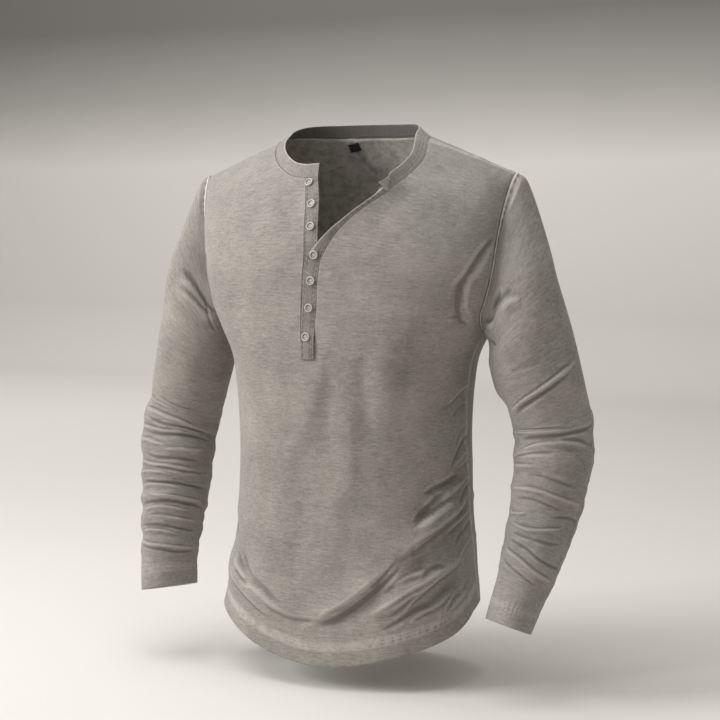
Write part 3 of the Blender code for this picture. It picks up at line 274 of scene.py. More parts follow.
BODY_CREASES = np.array([
    # start, start_up, middle, middle_up, end, end_up, depth, half_width, lean
    (94, -290, 62, -320, 40, -358, 2.9, 4.5, 0.8),
    (40, -358, 24, -408, 4, -450, 2.9, 5.1, 0.8),
    (44, -366, 28, -412, 10, -454, -2.9, 4, 0),
    (8, -452, -4, -456, -24, -430, -2.6, 4.2, 0),
    (-8, -447, -28, -420, -52, -374, 2.2, 5.1, -0.6),
    (50, -282, 66, -270, 84, -254, -2.9, 4, 0),
    (46, -320, 56, -298, 70, -276, -3.2, 4, 0),
    (46, -328, 57, -308, 74, -288, 2.6, 4, 0.8),
    (84, -362, 54, -394, 24, -446, 2.6, 4.2, 0.8),
    (80, -376, 56, -404, 34, -446, -2.3, 4, 0),
    (70, -376, 55, -402, 42, -440, 2.2, 4, 0.7),
    (32, -412, 41, -396, 53, -386, -2.3, 4, 0),
    (36, -404, 44, -390, 56, -380, 2.2, 4, 0.6),
    (50, -392, 57, -380, 66, -378, -2.2, 4, 0),
    (96, -262, 84, -268, 70, -282, 2.2, 4, 0.6),
    (98, -276, 86, -284, 74, -300, -2.2, 4, 0),
    (98, -306, 84, -318, 68, -336, 2.3, 4, 0.6),
    (99, -322, 86, -336, 72, -352, -2.2, 4, 0),
    (99, -344, 86, -356, 74, -374, 2.2, 4, 0.6),
    (98, -238, 88, -246, 74, -254, -1.3, 3.6, 0),
    (97, -222, 86, -234, 72, -250, 1.3, 3.6, 0.5),
    (96, -186, 84, -206, 74, -228, -1.1, 3.6, 0),
    (95, -132, 84, -146, 66, -164, 1.3, 4, 0.4),
    (95, -160, 82, -170, 70, -184, -1, 3.6, 0),
    (97, -204, 84, -224, 71, -254, -1.5, 3.6, 0),
    (-45, -396, -38, -406, -29, -418, -2.9, 4, 0),
    (-50, -384, -42, -398, -32, -410, 1.9, 4, -0.5),
    (-92, -318, -78, -336, -66, -362, -1.9, 4, 0),
    (-96, -340, -82, -358, -68, -386, 2.2, 4.2, -0.5),
    (-97, -366, -84, -384, -70, -404, -1.9, 4, 0),
    (-94, -290, -84, -300, -74, -318, 1.4, 4, -0.4),
    (11, -132, 9, -166, 8, -196, -0.5, 8.2, 0),
    (26, -108, 27, -145, 28, -196, -0.5, 8.2, 0),
    (12, -260, 8, -306, 0, -352, 0.6, 10, 0.2),
    (-6, -230, -10, -276, -20, -320, -0.4, 10, 0),
    (28, -238, 27, -280, 22, -330, -0.4, 10, 0),
    (-24, -150, -28, -200, -38, -250, 0.3, 10, 0.2),
    (74, 66, 64, 40, 59, 10, -1.4, 4.6, 0),
    (60, 26, 58, -16, 72, -58, -1.6, 4.6, 0),
    (63, 26, 61, -16, 73, -50, 1, 5, -0.5),
    (-69, 50, -62, 22, -62, -30, -0.6, 8.2, 0),
    (112, -288, 138, -316, 164, -366, 2.2, 5.1, 0.6),
    (109, -312, 136, -346, 158, -392, -2.2, 4.6, 0),
    (248, -298, 224, -332, 198, -374, 2.2, 5.1, -0.6),
    (251, -326, 228, -360, 208, -398, -2.2, 4.6, 0),
    (108, -240, 122, -256, 138, -284, 1.3, 4, 0.6),
    (107, -258, 120, -272, 132, -296, -1.9, 4, 0),
    (109, -344, 124, -362, 142, -392, 1.9, 4, 0.6),
    (252, -250, 238, -266, 222, -292, 1.9, 4, -0.6),
    (254, -272, 240, -288, 228, -310, -1.9, 4, 0),
    (176, -64, 173, -140, 178, -214, 0.4, 9.7, 0.3),
    (184, -130, 186, -190, 182, -250, -0.3, 9.7, 0),
    (152, 56, 144, 2, 149, -62, -0.5, 9.1, 0),
    (210, 58, 218, 4, 213, -60, -0.5, 9.1, 0),
    (140, 80, 132, 40, 126, -10, -1.3, 5.1, 0),
    (222, 80, 230, 40, 236, -10, -1.3, 5.1, 0),
    (156, -250, 168, -290, 188, -309, 1.4, 5.1, 0.5),
    (205, -236, 196, -268, 178, -288, -1.4, 4.6, 0),
    (190, 190, 187, 150, 180, 105, -3.2, 7, 0),
    (192, 188, 191, 150, 185, 110, 1.8, 8, 0),
    (-6, -441, -26, -412, -48, -364, -2.2, 4.6, 0),
    (-14, -458, -34, -430, -60, -384, 2.2, 4.8, 0.6),
    (60, -420, 46, -438, 30, -462, -2.4, 4.2, 0),
    (72, -412, 58, -428, 44, -452, 2.2, 4.2, 0.7),
    (90, -400, 76, -416, 62, -440, -2.2, 4.2, 0),
]) * FOLD_UNITS
LEFT_SLEEVE_FOLDS = np.array([
    # start, start_up, middle, middle_up, end, end_up, depth, half_width, lean
    (24, -30, 28, 48, 30, 126, 9.2, 30, 0),
    (152, 95, 152, 150, 152, 205, 3, 22, 0),
    (152, 165, 152, 225, 152, 290, -5, 22, 0),
    (148, 30, 118, 56, 92, 74, -3, 9, 0),
    (160, 44, 110, 80, 66, 92, 2.5, 10, 0.3),
    (172, 62, 120, 100, 84, 112, -2.2, 10, 0),
    (146, 210, 64, 190, -20, 168, 1.2, 9, 0.5),
    (190, 236, 62, 252, -64, 224, 4.5, 10, 0.4),
    (192, 256, 74, 270, -62, 244, -4.5, 10, 0),
    (194, 276, 74, 290, -66, 268, 4.5, 10, 0.3),
    (200, 306, 90, 314, -20, 306, -3.5, 11, 0),
    (196, 336, 72, 336, -58, 346, 3.5, 10, 0.4),
    (190, 356, 80, 362, -30, 366, -3, 10, 0),
    (192, 384, 84, 392, -26, 374, 3.5, 9, 0.4),
    (194, 402, 74, 420, -56, 424, -4, 9, 0),
    (192, 416, 76, 440, -44, 446, 4, 9, 0.3),
    (330, 232, 262, 250, 190, 238, 4, 11, 0.3),
    (334, 256, 268, 272, 196, 262, -4, 11, 0),
    (322, 300, 250, 312, 184, 300, 3.8, 11, 0.3),
    (336, 344, 262, 352, 190, 340, -3.5, 10, 0),
    (330, 380, 258, 392, 186, 384, 3.5, 10, 0.3),
    (338, 424, 270, 430, 196, 416, 3, 9, 0.3),
]) * FOLD_UNITS
LEFT_SLEEVE_CREASES = np.array([
    # start, start_up, middle, middle_up, end, end_up, depth, half_width, lean
    (130, 207, 66, 190, 2, 171, 3.5, 2.9, 0.8),
    (124, 214, 70, 198, 20, 184, -2.6, 2.7, 0),
    (128, 238, 92, 250, 54, 254, -2.6, 2.5, 0),
    (140, 246, 96, 258, 30, 256, 2.2, 3, 0.7),
    (132, 262, 74, 266, -14, 244, -2.8, 2.9, 0),
    (136, 280, 74, 274, -6, 274, 2.2, 2.9, 0.8),
    (140, 290, 110, 288, 60, 284, -2.2, 2.5, 0),
    (144, 304, 112, 305, 88, 306, 1.9, 2.7, 0.6),
    (120, 318, 70, 316, 10, 322, -1.9, 2.9, 0),
    (146, 334, 73, 334, -4, 345, 2.2, 2.9, 0.7),
    (140, 346, 90, 348, 30, 356, -2.1, 2.7, 0),
    (136, 382, 84, 390, 22, 374, 2.2, 2.7, 0.7),
    (134, 396, 80, 402, 10, 396, -2.1, 2.5, 0),
    (138, 402, 73, 420, -24, 425, -2.6, 2.7, 0),
    (142, 414, 76, 436, -4, 444, 2.6, 2.9, 0.7),
    (138, 428, 90, 448, 30, 454, -1.9, 2.5, 0),
    (150, 366, 120, 372, 96, 368, 1.9, 2.7, 0.5),
    (60, 370, 20, 362, -14, 368, -1.9, 2.9, 0),
    (118, 46, 108, 56, 96, 70, -2.2, 3.3, 0),
    (108, 66, 92, 74, 70, 82, -1.9, 3.3, 0),
    (98, 83, 80, 88, 60, 93, 1.7, 3.9, 0.4),
    (140, 40, 124, 62, 110, 86, 1.9, 3.3, 0.5),
    (146, 56, 132, 82, 118, 108, -1.7, 3, 0),
    (60, 140, 40, 150, 16, 152, 0.9, 5.1, 0.3),
    (110, 150, 80, 158, 50, 160, -0.9, 5.1, 0),
    (300, 236, 262, 248, 216, 240, 2.1, 3, 0.7),
    (310, 260, 268, 270, 214, 262, -2.1, 2.9, 0),
    (300, 302, 252, 312, 204, 302, 2.1, 3, 0.7),
    (316, 326, 270, 332, 220, 322, -1.9, 2.9, 0),
    (310, 346, 262, 352, 210, 342, -1.9, 2.9, 0),
    (306, 382, 258, 392, 206, 384, 2.1, 2.9, 0.7),
    (314, 404, 266, 412, 214, 402, -1.9, 2.7, 0),
    (310, 424, 268, 430, 212, 418, 1.9, 2.9, 0.6),
    (250, 50, 230, 70, 212, 84, -1.9, 3.7, 0),
    (262, 74, 240, 96, 218, 108, 1.7, 3.9, 0.5),
    (330, 200, 300, 212, 264, 210, 1.7, 3.3, 0.5),
]) * FOLD_UNITS
RIGHT_SLEEVE_FOLDS = np.array([
    # start, start_up, middle, middle_up, end, end_up, depth, half_width, lean
    (24, -30, 28, 48, 30, 126, 9.2, 30, 0),
    (56, 77, 100, 64, 150, 26, -3, 9, 0),
    (54, 90, 98, 80, 146, 44, 2.5, 10, 0.3),
    (60, 106, 104, 98, 150, 68, -2.5, 10, 0),
    (28, 240, 28, 310, 28, 420, 4, 26, 0),
    (208, 250, 208, 350, 208, 460, 5, 28, 0),
    (-30, 246, 114, 275, 252, 262, 6, 11, -0.4),
    (-26, 268, 116, 293, 250, 280, -4, 9, 0),
    (-30, 292, 112, 312, 254, 302, 5, 11, -0.3),
    (-28, 322, 112, 330, 248, 330, -3.6, 9, 0),
    (-32, 344, 118, 352, 252, 348, 5.2, 11, -0.4),
    (-24, 366, 120, 374, 250, 366, -3.6, 8, 0),
    (-30, 386, 118, 390, 252, 386, 4.8, 9, -0.3),
    (-26, 404, 116, 402, 248, 404, -3.2, 8, 0),
    (-28, 424, 120, 424, 250, 426, 4.8, 9, -0.4),
    (-24, 440, 120, 444, 246, 446, -3.2, 8, 0),
    (-26, 454, 116, 462, 248, 462, 4, 8, -0.3),
    (234, 268, 286, 276, 344, 258, 4.2, 11, -0.3),
    (230, 304, 286, 310, 342, 298, -4, 11, 0),
    (232, 344, 290, 352, 346, 342, 4.2, 10, -0.3),
    (236, 380, 284, 388, 340, 382, -3.8, 10, 0),
    (230, 420, 290, 424, 348, 418, 3.8, 9, -0.3),
]) * FOLD_UNITS
RIGHT_SLEEVE_CREASES = np.array([
    # start, start_up, middle, middle_up, end, end_up, depth, half_width, lean
    (56, 76, 100, 64, 146, 28, -1.4, 3, 0),
    (58, 88, 97, 78, 130, 47, -1.4, 2.9, 0),
    (62, 82, 98, 71, 136, 38, 1, 3.3, -0.4),
    (40, 262, 96, 268, 160, 284, 3.3, 3, -0.8),
    (52, 270, 110, 282, 186, 286, -3.3, 2.7, 0),
    (30, 282, 80, 288, 150, 296, 2.3, 2.9, -0.7),
    (60, 292, 116, 297, 190, 300, -2.7, 2.5, 0),
    (34, 304, 72, 304, 108, 312, 2.2, 2.9, -0.6),
    (90, 312, 132, 318, 178, 314, 2, 2.9, -0.6),
    (50, 322, 106, 328, 170, 332, -2.3, 2.5, 0),
    (30, 332, 92, 338, 160, 344, 2.3, 2.9, -0.7),
    (70, 342, 120, 346, 182, 350, -2.2, 2.5, 0),
    (34, 352, 78, 350, 124, 358, 2, 2.7, -0.6),
    (40, 366, 110, 370, 190, 372, -2.7, 2.5, 0),
    (30, 376, 84, 372, 150, 382, 2.3, 2.7, -0.7),
    (70, 386, 130, 392, 192, 392, 2, 2.7, -0.6),
    (34, 402, 116, 398, 200, 402, -2.9, 2.5, 0),
    (40, 410, 100, 406, 170, 412, 2.2, 2.7, -0.7),
    (60, 418, 110, 418, 180, 422, -2, 2.4, 0),
    (34, 430, 122, 435, 190, 438, -2.7, 2.5, 0),
    (40, 440, 92, 440, 150, 448, 2.3, 2.7, -0.7),
    (34, 450, 114, 464, 196, 462, 2, 2.9, -0.6),
    (44, 458, 116, 470, 188, 468, -2, 2.4, 0),
    (250, 270, 286, 276, 326, 262, 2.2, 3, -0.7),
    (246, 290, 284, 294, 330, 284, -2, 2.9, 0),
    (248, 306, 286, 310, 326, 300, -2.2, 3, 0),
    (246, 326, 288, 330, 330, 320, 2, 2.9, -0.6),
    (248, 346, 290, 352, 330, 344, 2.2, 2.9, -0.7),
    (250, 364, 290, 370, 330, 362, -2, 2.7, 0),
    (250, 382, 286, 388, 324, 382, -2, 2.7, 0),
    (246, 402, 288, 406, 330, 400, 2, 2.7, -0.6),
    (248, 420, 290, 424, 332, 418, 2, 2.7, -0.6),
    (110, 50, 130, 70, 148, 84, -1.7, 3.3, 0),
    (30, 180, 60, 196, 110, 204, 1, 5.1, -0.3),
    (60, 222, 100, 236, 150, 240, -1.7, 3.7, 0),
    (30, 232, 70, 246, 120, 256, 2, 3.3, -0.5),
    (262, 50, 244, 72, 222, 84, -1.7, 3.7, 0),
]) * FOLD_UNITS
FOLD_FADE = 0.30
FOLD_TIP = 0.60
SEAM_HOLD = 0.022
ARMHOLE_RADIUS = 0.09
LEFT_SEED = 41
RIGHT_SEED = 61
SLEEVES = (
    (1, "sleeve_left", LEFT_SLEEVE_FOLDS, LEFT_SLEEVE_CREASES, LEFT_SEED),
    (-1, "sleeve_right", RIGHT_SLEEVE_FOLDS, RIGHT_SLEEVE_CREASES, RIGHT_SEED),
)

# Turned edges and trim. The opened part of the over placket rolls back along its free edge.
HEM_DEPTH = 0.029
CUFF_DEPTH = 0.026
TWIN_ROWS = 0.005
SEAM_PUCKER = 0.0085
NECK_ROWS = (0.0020, 0.0052)
CUFF_LIFT = 0.19
STRIP_WIDTH = 0.0197
STRIP_LENGTH = 0.26
STRIP_STITCH = 0.0026
ROLL_FROM = 0.42
ROLL_GROWS = 0.42
ROLL_RADIUS = 0.0042
RIB_PITCH = 0.0030
BAND_LINES = (0.0062, 0.0100, 0.0140)
BAND_STITCH = 0.0012
RIBBED_TO = 0.24
LINED_FROM = 0.60
BAND_END_FROM = 0.94
BAND_TUCK = 0.30
TAG_WIDTH = 0.017
TAG_LENGTH = 0.0145
TAG_WALL = 0.0008
TAG_AROUND = math.radians(188)
TAG_RISE = 0.1712
TAG_DEPTH = 0.0042

# Buttons: where each sits, seen from in front. The first three are on the stand and the rest on the over placket.
BUTTONS = np.array([
    # x, z
    (-0.0233, -0.0672),
    (-0.0112, -0.0960),
    (-0.0060, -0.1255),
    (0.0072, -0.1622),
    (0.0045, -0.1965),
    (0.0030, -0.2325),
    (-0.0003, -0.2700),
])
BUTTONS_ON_STAND = 3
HOLE_OFF = 0.0011
HOLE_RADIUS = 0.00062
BUTTON_LIFT = 0.0008
BUTTON_PROFILE = np.array([
    # share of the radius, height
    (0.00, 0.0000),
    (0.60, 0.0000),
    (0.90, 0.0000),
    (0.985, 0.0006),
    (1.00, 0.0012),
    (0.96, 0.0018),
    (0.88, 0.00215),
    (0.78, 0.0021),
    (0.70, 0.00175),
    (0.62, 0.00135),
    (0.50, 0.0012),
    (0.00, 0.0011),
])

# A stitch's bar, in shares of its length and of the thread's radius
STITCH_SHAPE = np.array([
    # place, height, thickness
    (-0.5, -1.6, 0.5),
    (-0.32, -0.1, 1.0),
    (0.0, 0.25, 1.05),
    (0.32, -0.1, 1.0),
    (0.5, -1.6, 0.5),
])

# Grid counts. A panel's columns and rows come to even numbers, and so do a sleeve's, because the inner layer has
# every second point.
SLOT_ROWS = 192
ARMHOLE_ROWS = 96
NECK_FRONT_COLUMNS = 63
NECK_BACK_COLUMNS = 56
SHOULDER_COLUMNS = 49
BACK_SHOULDER_COLUMNS = 56
BACK_SIDE_ROWS = 128
SLEEVE_COLUMNS = 192
SLEEVE_ROWS = 400
STRIP_ROWS = 281
STRIP_FACE = 31
BAND_COLUMNS = 901
BAND_FACE = 17
TAG_FACE = 25
BUTTON_RINGS = 44
BUTTON_TURNS = 40
RELAX_PASSES = 80

# How far worn bloom reaches from a seam or an edge, and its most
SLOT_BLOOM = (0.0030, 0.30)
SHOULDER_BLOOM = (0.0060, 0.75)
SIDE_BLOOM = (0.0045, 0.55)
BACK_BLOOM = (0.0050, 0.60)
ARMHOLE_BLOOM = (0.0060, 0.45)
HEM_BLOOM = (0.009, 0.42)
SLEEVE_HEAD_BLOOM = (0.0090, 1.0)
CUFF_BLOOM = (0.007, 0.22)
BAND_TOP_BLOOM = (0.0022, 0.7)

# How pale the cloth's inner face is painted, from 0 to 1, as painted light inside the shirt; and how high over the
# cloth round it a ridge is painted fully pale, as painted highlight, and how deep a trough is painted at its darkest,
# as painted shade
INSIDE_PAINTED_LIGHT = 0.85
SLEEVE_CREST = 0.0004
BODY_CREST = 0.00042

# Noises of the knit: scale round the cloth, scale up it, detail, roughness. Slubs are 1 to 2 mm thick and 20 to 60 mm
# long, in short and long streaks. Single stitches, 0.7 mm, are drawn as 2 mm flecks.
SLUBS = (
    (92.0, 600.0, 3.0, 0.65),
    (16.0, 150.0, 3.0, 0.55),
    (300.0, 560.0, 2.0, 0.60),
)

# Studio
SHIRT_MIDDLE = (0.0, 0.0, -0.35)
CAMERA_TARGET = np.array([0.0037, 0.0, -0.312])
CAMERA_DISTANCE = 2.5
CAMERA_TURN = math.radians(28)
CAMERA_RISE = math.radians(5)
FOCAL_LENGTH = 89.88


# ---- Shapes


def hermite(t, start, leave, end, arrive):
    """The cubic from start at 0 to end at 1 that has these slopes there."""
    return (
        (2 * t**3 - 3 * t**2 + 1) * start
        + (t**3 - 2 * t**2 + t) * leave
        + (3 * t**2 - 2 * t**3) * end
        + (t**3 - t**2) * arrive
    )


def smooth_rows(table, at, key=0):
    """Values of a table's other columns at places along its key column: a cubic Hermite curve through the rows, whose
    slope at each row is the one from its neighbour before to its neighbour after."""
    keys = table[:, key]
    values = np.delete(table, key, axis=1)
    slopes = np.gradient(values, keys, axis=0)
    at = np.clip(np.asarray(at, float), keys[0], keys[-1])
    row = np.clip(np.searchsorted(keys, at, side="right") - 1, 0, len(keys) - 2)
    span = keys[row + 1] - keys[row]
    t = ((at - keys[row]) / span)[..., None]
    span = span[..., None]
    return hermite(t, values[row], span * slopes[row], values[row + 1], span * slopes[row + 1])


def along_points(points, at, axes=2):
    """Rows on a smooth curve through points, where at runs from 0 at the first to 1 at the last by length. The first
    axes columns are places."""
    steps = np.linalg.norm(np.diff(points[:, :axes], axis=0), axis=1)
    keys = np.concatenate([[0.0], np.cumsum(steps)])
    return smooth_rows(np.column_stack([keys / keys[-1], points]), at)


def columns_of(rows):
    """The columns of rows of values, to be taken apart by name."""
    return np.moveaxis(rows, -1, 0)


def unit(vectors):
    """Vectors divided by their lengths."""
    return vectors / np.maximum(np.linalg.norm(vectors, axis=-1, keepdims=True), 1e-12)


def eased(share):
    """0 below 0, 1 above 1, and 3t^2 - 2t^3 between."""
    share = np.clip(share, 0, 1)
    return share * share * (3 - 2 * share)


def bell(gap, width):
    """1 at no gap, falling off to either side: exp(-(gap / width)^2)."""
    return np.exp(-((gap / width) ** 2))


def waves(x, y, seed):
    """Smooth noise from -1 to 1: random heights at whole x and y, eased between them, repeating every 64."""
    heights = np.random.default_rng(seed).uniform(-1, 1, (64, 64))
    left, low = np.floor(x).astype(int), np.floor(y).astype(int)
    u, v = eased(x - left), eased(y - low)
    left, low, right, high = left % 64, low % 64, (left + 1) % 64, (low + 1) % 64
    below = heights[left, low] * (1 - u) + heights[right, low] * u
    above = heights[left, high] * (1 - u) + heights[right, high] * u
    return below * (1 - v) + above * v


def ridge_height(x):
    """Height of the shoulder ridge: a straight slope each way from a rounded top."""
    return RIDGE_TOP - RIDGE_SLOPE * (np.sqrt(x**2 + RIDGE_ROUND**2) - RIDGE_ROUND)


def ring_spread(around):
    """Distance from the axis of a unit superellipse: (|sin|^n + |cos|^n)^(-1/n)."""
    across, ahead = np.abs(np.sin(around)), np.abs(np.cos(around))
    return (across**RING_POWER + ahead**RING_POWER) ** (-1 / RING_POWER)


def ridge_power(around):
    """Roundness of the shoulder ridge, fullest at the tips."""
    centre = np.where(np.cos(around) >= 0, FRONT_POWER, BACK_POWER)
    return centre + (TIP_POWER - centre) * np.sin(around) ** 8


def own_chart(around, rise):
    """Chart places with those over the ridge given as the far side's own."""
    around, rise = np.broadcast_arrays(np.asarray(around, float), np.asarray(rise, float))
    over = rise > SHOULDER_ARC
    return np.where(over, math.pi - around, around), np.where(over, 2 * SHOULDER_ARC - rise, rise)


def torso_point(around, rise):
    """The body's form: a superellipse ring at each height over the chest line, and above it rings whose depth closes
    to nothing at the shoulder ridge, SHOULDER_ARC along the curve, and opens again down the back."""
    around, rise = own_chart(around, rise)
    turn = np.clip(rise / SHOULDER_ARC, 0, 1) * math.pi / 2
    front = np.cos(around) >= 0
    power = ridge_power(around)
    climb = np.sin(turn) ** (2 / power)
    reach = np.maximum(np.cos(turn), 0) ** (2 / power)
    below = np.minimum(rise, 0)
    row = smooth_rows(TORSO, CHEST_HEIGHT + below + (TIP_HEIGHT - CHEST_HEIGHT) * climb)
    half_width, front_depth, back_depth, sway = columns_of(row)
    spread = ring_spread(around)
    x = sway + half_width * np.sin(around) * spread
    depth = np.where(front, front_depth, back_depth)
    y = -depth * np.cos(around) * spread * reach
    z = CHEST_HEIGHT + below + (ridge_height(x) - CHEST_HEIGHT) * climb
    return np.stack([x, y, z], axis=-1)


def torso_normal(around, rise):
    """Unit normal of the body's form: the cross product of its slopes round and up."""
    turn, step = 2e-3, 4e-4
    round_body = torso_point(np.add(around, turn), rise) - torso_point(np.subtract(around, turn), rise)
    up_body = torso_point(around, np.add(rise, step)) - torso_point(around, np.subtract(rise, step))
    return unit(np.cross(round_body, up_body))


def chart_from_front(x, z):
    """(around, rise) of the point of the front that is seen at x and z from in front."""
    x, z = np.broadcast_arrays(np.asarray(x, float), np.asarray(z, float))
    climb = np.clip((z - CHEST_HEIGHT) / (ridge_height(x) - CHEST_HEIGHT), 0, 1)
    height = np.where(z < CHEST_HEIGHT, z, CHEST_HEIGHT + (TIP_HEIGHT - CHEST_HEIGHT) * climb)
    row = smooth_rows(TORSO, height)
    half_width, _, _, sway = columns_of(row)
    share = np.clip(np.abs(x - sway) / half_width, 1e-9, 1 - 1e-9)
    around = np.sign(x - sway) * np.arctan((share**-RING_POWER - 1) ** (-1 / RING_POWER))
    turn = np.arcsin(climb ** (ridge_power(around) / 2))
    rise = np.where(z < CHEST_HEIGHT, z - CHEST_HEIGHT, SHOULDER_ARC * turn / (math.pi / 2))
    return around, rise


def hem_rise(around):
    """Rise of the hem over the chest line at an angle from centre front, by its table."""
    return smooth_rows(HEM, np.degrees(around))[..., 0] - CHEST_HEIGHT


def hem_distance(around, rise):
    """How far places on their own side's chart are over the hem."""
    start, end = HEM[0, 0], HEM[-1, 0]
    low = np.degrees((around - math.radians(start)) % (2 * math.pi)) + start
    return rise - hem_rise(np.radians(np.clip(low, start, end)))


def armhole_chart(round_arm):
    """(around, rise) of the wearer's left armhole at an angle round the arm in degrees, its back given as the back's
    own chart."""
    wrapped = 180 - (180 - np.asarray(round_arm, float)) % 360
    places = smooth_rows(ARMHOLE, wrapped)
    around, rise = np.radians(places[..., 0]), places[..., 1]
    behind = wrapped < 0
    return np.where(behind, math.pi - around, around), np.where(behind, 2 * SHOULDER_ARC - rise, rise)


def fold_height(folds, radius, across, up):
    """Sum of the folds. A path is a chord bowed as a parabola through its middle; across it the cloth stands as a
    bell exp(-(aside / width)^2), narrower on the side it leans to, with a shallow groove at that side's foot; it
    fades and narrows over a share of the path at either end."""
    across, up = np.asarray(across, float) * radius, np.asarray(up, float)
    girth = 2 * math.pi * radius
    height = np.zeros(np.broadcast(across, up).shape)
    for start, start_up, middle, middle_up, end, end_up, depth, half_width, lean in folds:
        start, middle, end = np.radians((start, middle, end)) * radius
        length = math.hypot(end - start, end_up - start_up)
        line_x, line_y = (end - start) / length, (end_up - start_up) / length
        share = ((middle - start) * line_x + (middle_up - start_up) * line_y) / length
        bow = ((middle_up - start_up) * line_x - (middle - start) * line_y) / (share * (1 - share))
        x = (across - middle + girth / 2) % girth - girth / 2 + middle - start
        y = up - start_up
        along = (x * line_x + y * line_y) / length
        aside = y * line_x - x * line_y - bow * along * (1 - along)
        aside = aside / np.sqrt(1 + (bow * (1 - 2 * along) / length) ** 2)
        fade = eased(np.minimum(along, 1 - along) / FOLD_FADE)
        width = half_width * (FOLD_TIP + (1 - FOLD_TIP) * fade)
        steep = width * (1 - 0.55 * lean * np.sign(aside))
        groove = bell(aside * np.sign(lean) / width - 1.0, 0.5) * abs(lean)
        height += depth * fade * (bell(aside, steep) - 0.35 * groove)
    return height


def freed(gap):
    """How free the cloth is to fold at a distance from an armhole seam: 0 at the seam, 1 past SEAM_HOLD."""
    return eased(gap / SEAM_HOLD)


def armhole_gap(around, rise):
    """(gap, along): the distance on the body's chart to the nearest armhole, and how far along it that is."""
    from_front = np.abs((around + math.pi) % (2 * math.pi) - math.pi)
    round_arm = np.linspace(-180, 180, 181)
    seam_around, seam_rise = armhole_chart(round_arm)
    beside = (from_front[..., None] - seam_around) * BODY_RADIUS
    gaps = np.hypot(beside, rise[..., None] - seam_rise)
    return gaps.min(axis=-1), np.radians(round_arm[gaps.argmin(axis=-1)]) * ARMHOLE_RADIUS


def turned_edge(gap, along, depth, seed):
    """Height of a turned and twin-stitched edge at a distance from it: the doubled cloth stands out a little, two
    rows of stitches draw it in, and it puckers between them."""
    doubled = 0.0005 * eased((depth + 0.004 - gap) / 0.002)
    rows = bell(gap - depth, 0.0009) + bell(gap - depth + TWIN_ROWS, 0.0009)
    pucker = np.sin(2 * math.pi * along / 0.0110 + 5.0 * waves(along / 0.022, gap / 0.02, seed))
    near = bell(gap - depth + 0.003, 0.010)
    strength = 0.5 + 0.9 * waves(along / 0.035, gap / 0.03, seed + 1)
    return doubled - 0.00040 * rows + 0.00028 * near * pucker * strength


def body_height(around, rise):
    """How far the body's cloth stands off its form: folds, creases, slow drape, puckers at the armholes and hem."""
    around, rise = own_chart(around, rise)
    gap, along = armhole_gap(around, rise)
    across = around * BODY_RADIUS
    wander = 0.0030 * waves(across / 0.035, rise / 0.035, 3)
    bent = rise + wander
    creases = fold_height(BODY_CREASES, BODY_RADIUS, around, bent)
    height = (fold_height(BODY_FOLDS, BODY_RADIUS, around, rise) + creases) * freed(gap)
    drape = 0.0007 * waves(across / 0.028 + 0.4 * waves(rise / 0.05, across / 0.05, 5), rise / 0.085, 7)
    drape += 0.0003 * waves(across / 0.012, rise / 0.028, 8)
    pucker = np.sin(2 * math.pi * along / SEAM_PUCKER + 2.5 * waves(along / 0.02, gap / 0.02, 9))
    pucker = 0.00025 * pucker * bell(gap, 0.008) * eased(gap / 0.002)
    height = height + drape * eased(gap / 0.012) + pucker - 0.0007 * bell(gap, 0.0018)
    hem_gap = hem_distance(around, rise)
    edge = turned_edge(hem_gap, across, HEM_DEPTH, 11)
    return np.where(hem_gap < 0.08, height * (0.55 + 0.45 * eased(hem_gap / HEM_DEPTH)) + edge, height)


def strip_chart(table, up, across):
    """(around, rise, lift) on a placket strip: up runs from foot to top, across from the table's first edge to its
    second."""
    x, z, far_x, far_z, lift, far_lift = columns_of(along_points(table, up))
    across = np.asarray(across, float)
    around, rise = chart_from_front(x + (far_x - x) * across, z + (far_z - z) * across)
    return around, rise, lift + (far_lift - lift) * across


def flap_lift(around, rise):
    """How far the opened front stands off beside the over placket: the most that any part of the strip's seam lifts
    it, where that lift fades with the distance."""
    opened = along_points(OVER_PLACKET[FLAP_FROM:], np.linspace(0, 1, STRIP_SAMPLES))
    _, _, seam_x, seam_z, _, seam_lift = columns_of(opened)
    place = torso_point(around, rise)
    gap = np.hypot(place[..., 0, None] - seam_x, place[..., 2, None] - seam_z)
    lift = ((seam_lift - seam_lift[0]) * np.clip(1 - gap / FLAP_REACH, 0, 1) ** 2.5).max(axis=-1)
    return np.where((place[..., 0] > 0) & (place[..., 1] < 0), np.maximum(lift, 0), 0)


def front_edge(side, up):
    """(around, rise) of the slot's edge on one side: 1 the wearer's left, -1 their right."""
    free, seam = OVER_PLACKET[:, 0:2], OVER_PLACKET[:, 2:4]
    if side < 0:
        seam, free = UNDER_PLACKET[:, 0:2], UNDER_PLACKET[:, 2:4]
    row = along_points(np.column_stack([seam, free]), np.linspace(0, 1, STRIP_SAMPLES))
    edge = row[:, :2] + unit(row[:, :2] - row[:, 2:]) * SEAM_GAP
    mouth = (edge[0, 0], SLOT_FOOT + SLOT_MOUTH)
    edge = np.vstack([mouth, edge[edge[:, 1] > SLOT_FOOT + 1.5 * SLOT_MOUTH]])
    place = along_points(edge, up)
    return chart_from_front(place[..., 0], place[..., 1])


def neck_front(side, down):
    """(around, rise) of the front neck seam: down is 0 at the neck point and 1 at the placket."""
    place = along_points(NECK_LEFT if side > 0 else NECK_RIGHT, down)
    return chart_from_front(place[..., 0], place[..., 1])


def neck_back(swing):
    """(around, rise) of the back neck seam, from -90 degrees at the wearer's right neck point to 90 at their left."""
    point_around, point_rise = neck_front(1, 0.0)
    around = math.pi - point_around * np.sin(swing)
    full = 2 * SHOULDER_ARC - point_rise
    return around, NECK_BACK_RISE + (full - NECK_BACK_RISE) * (1 - np.cos(swing))


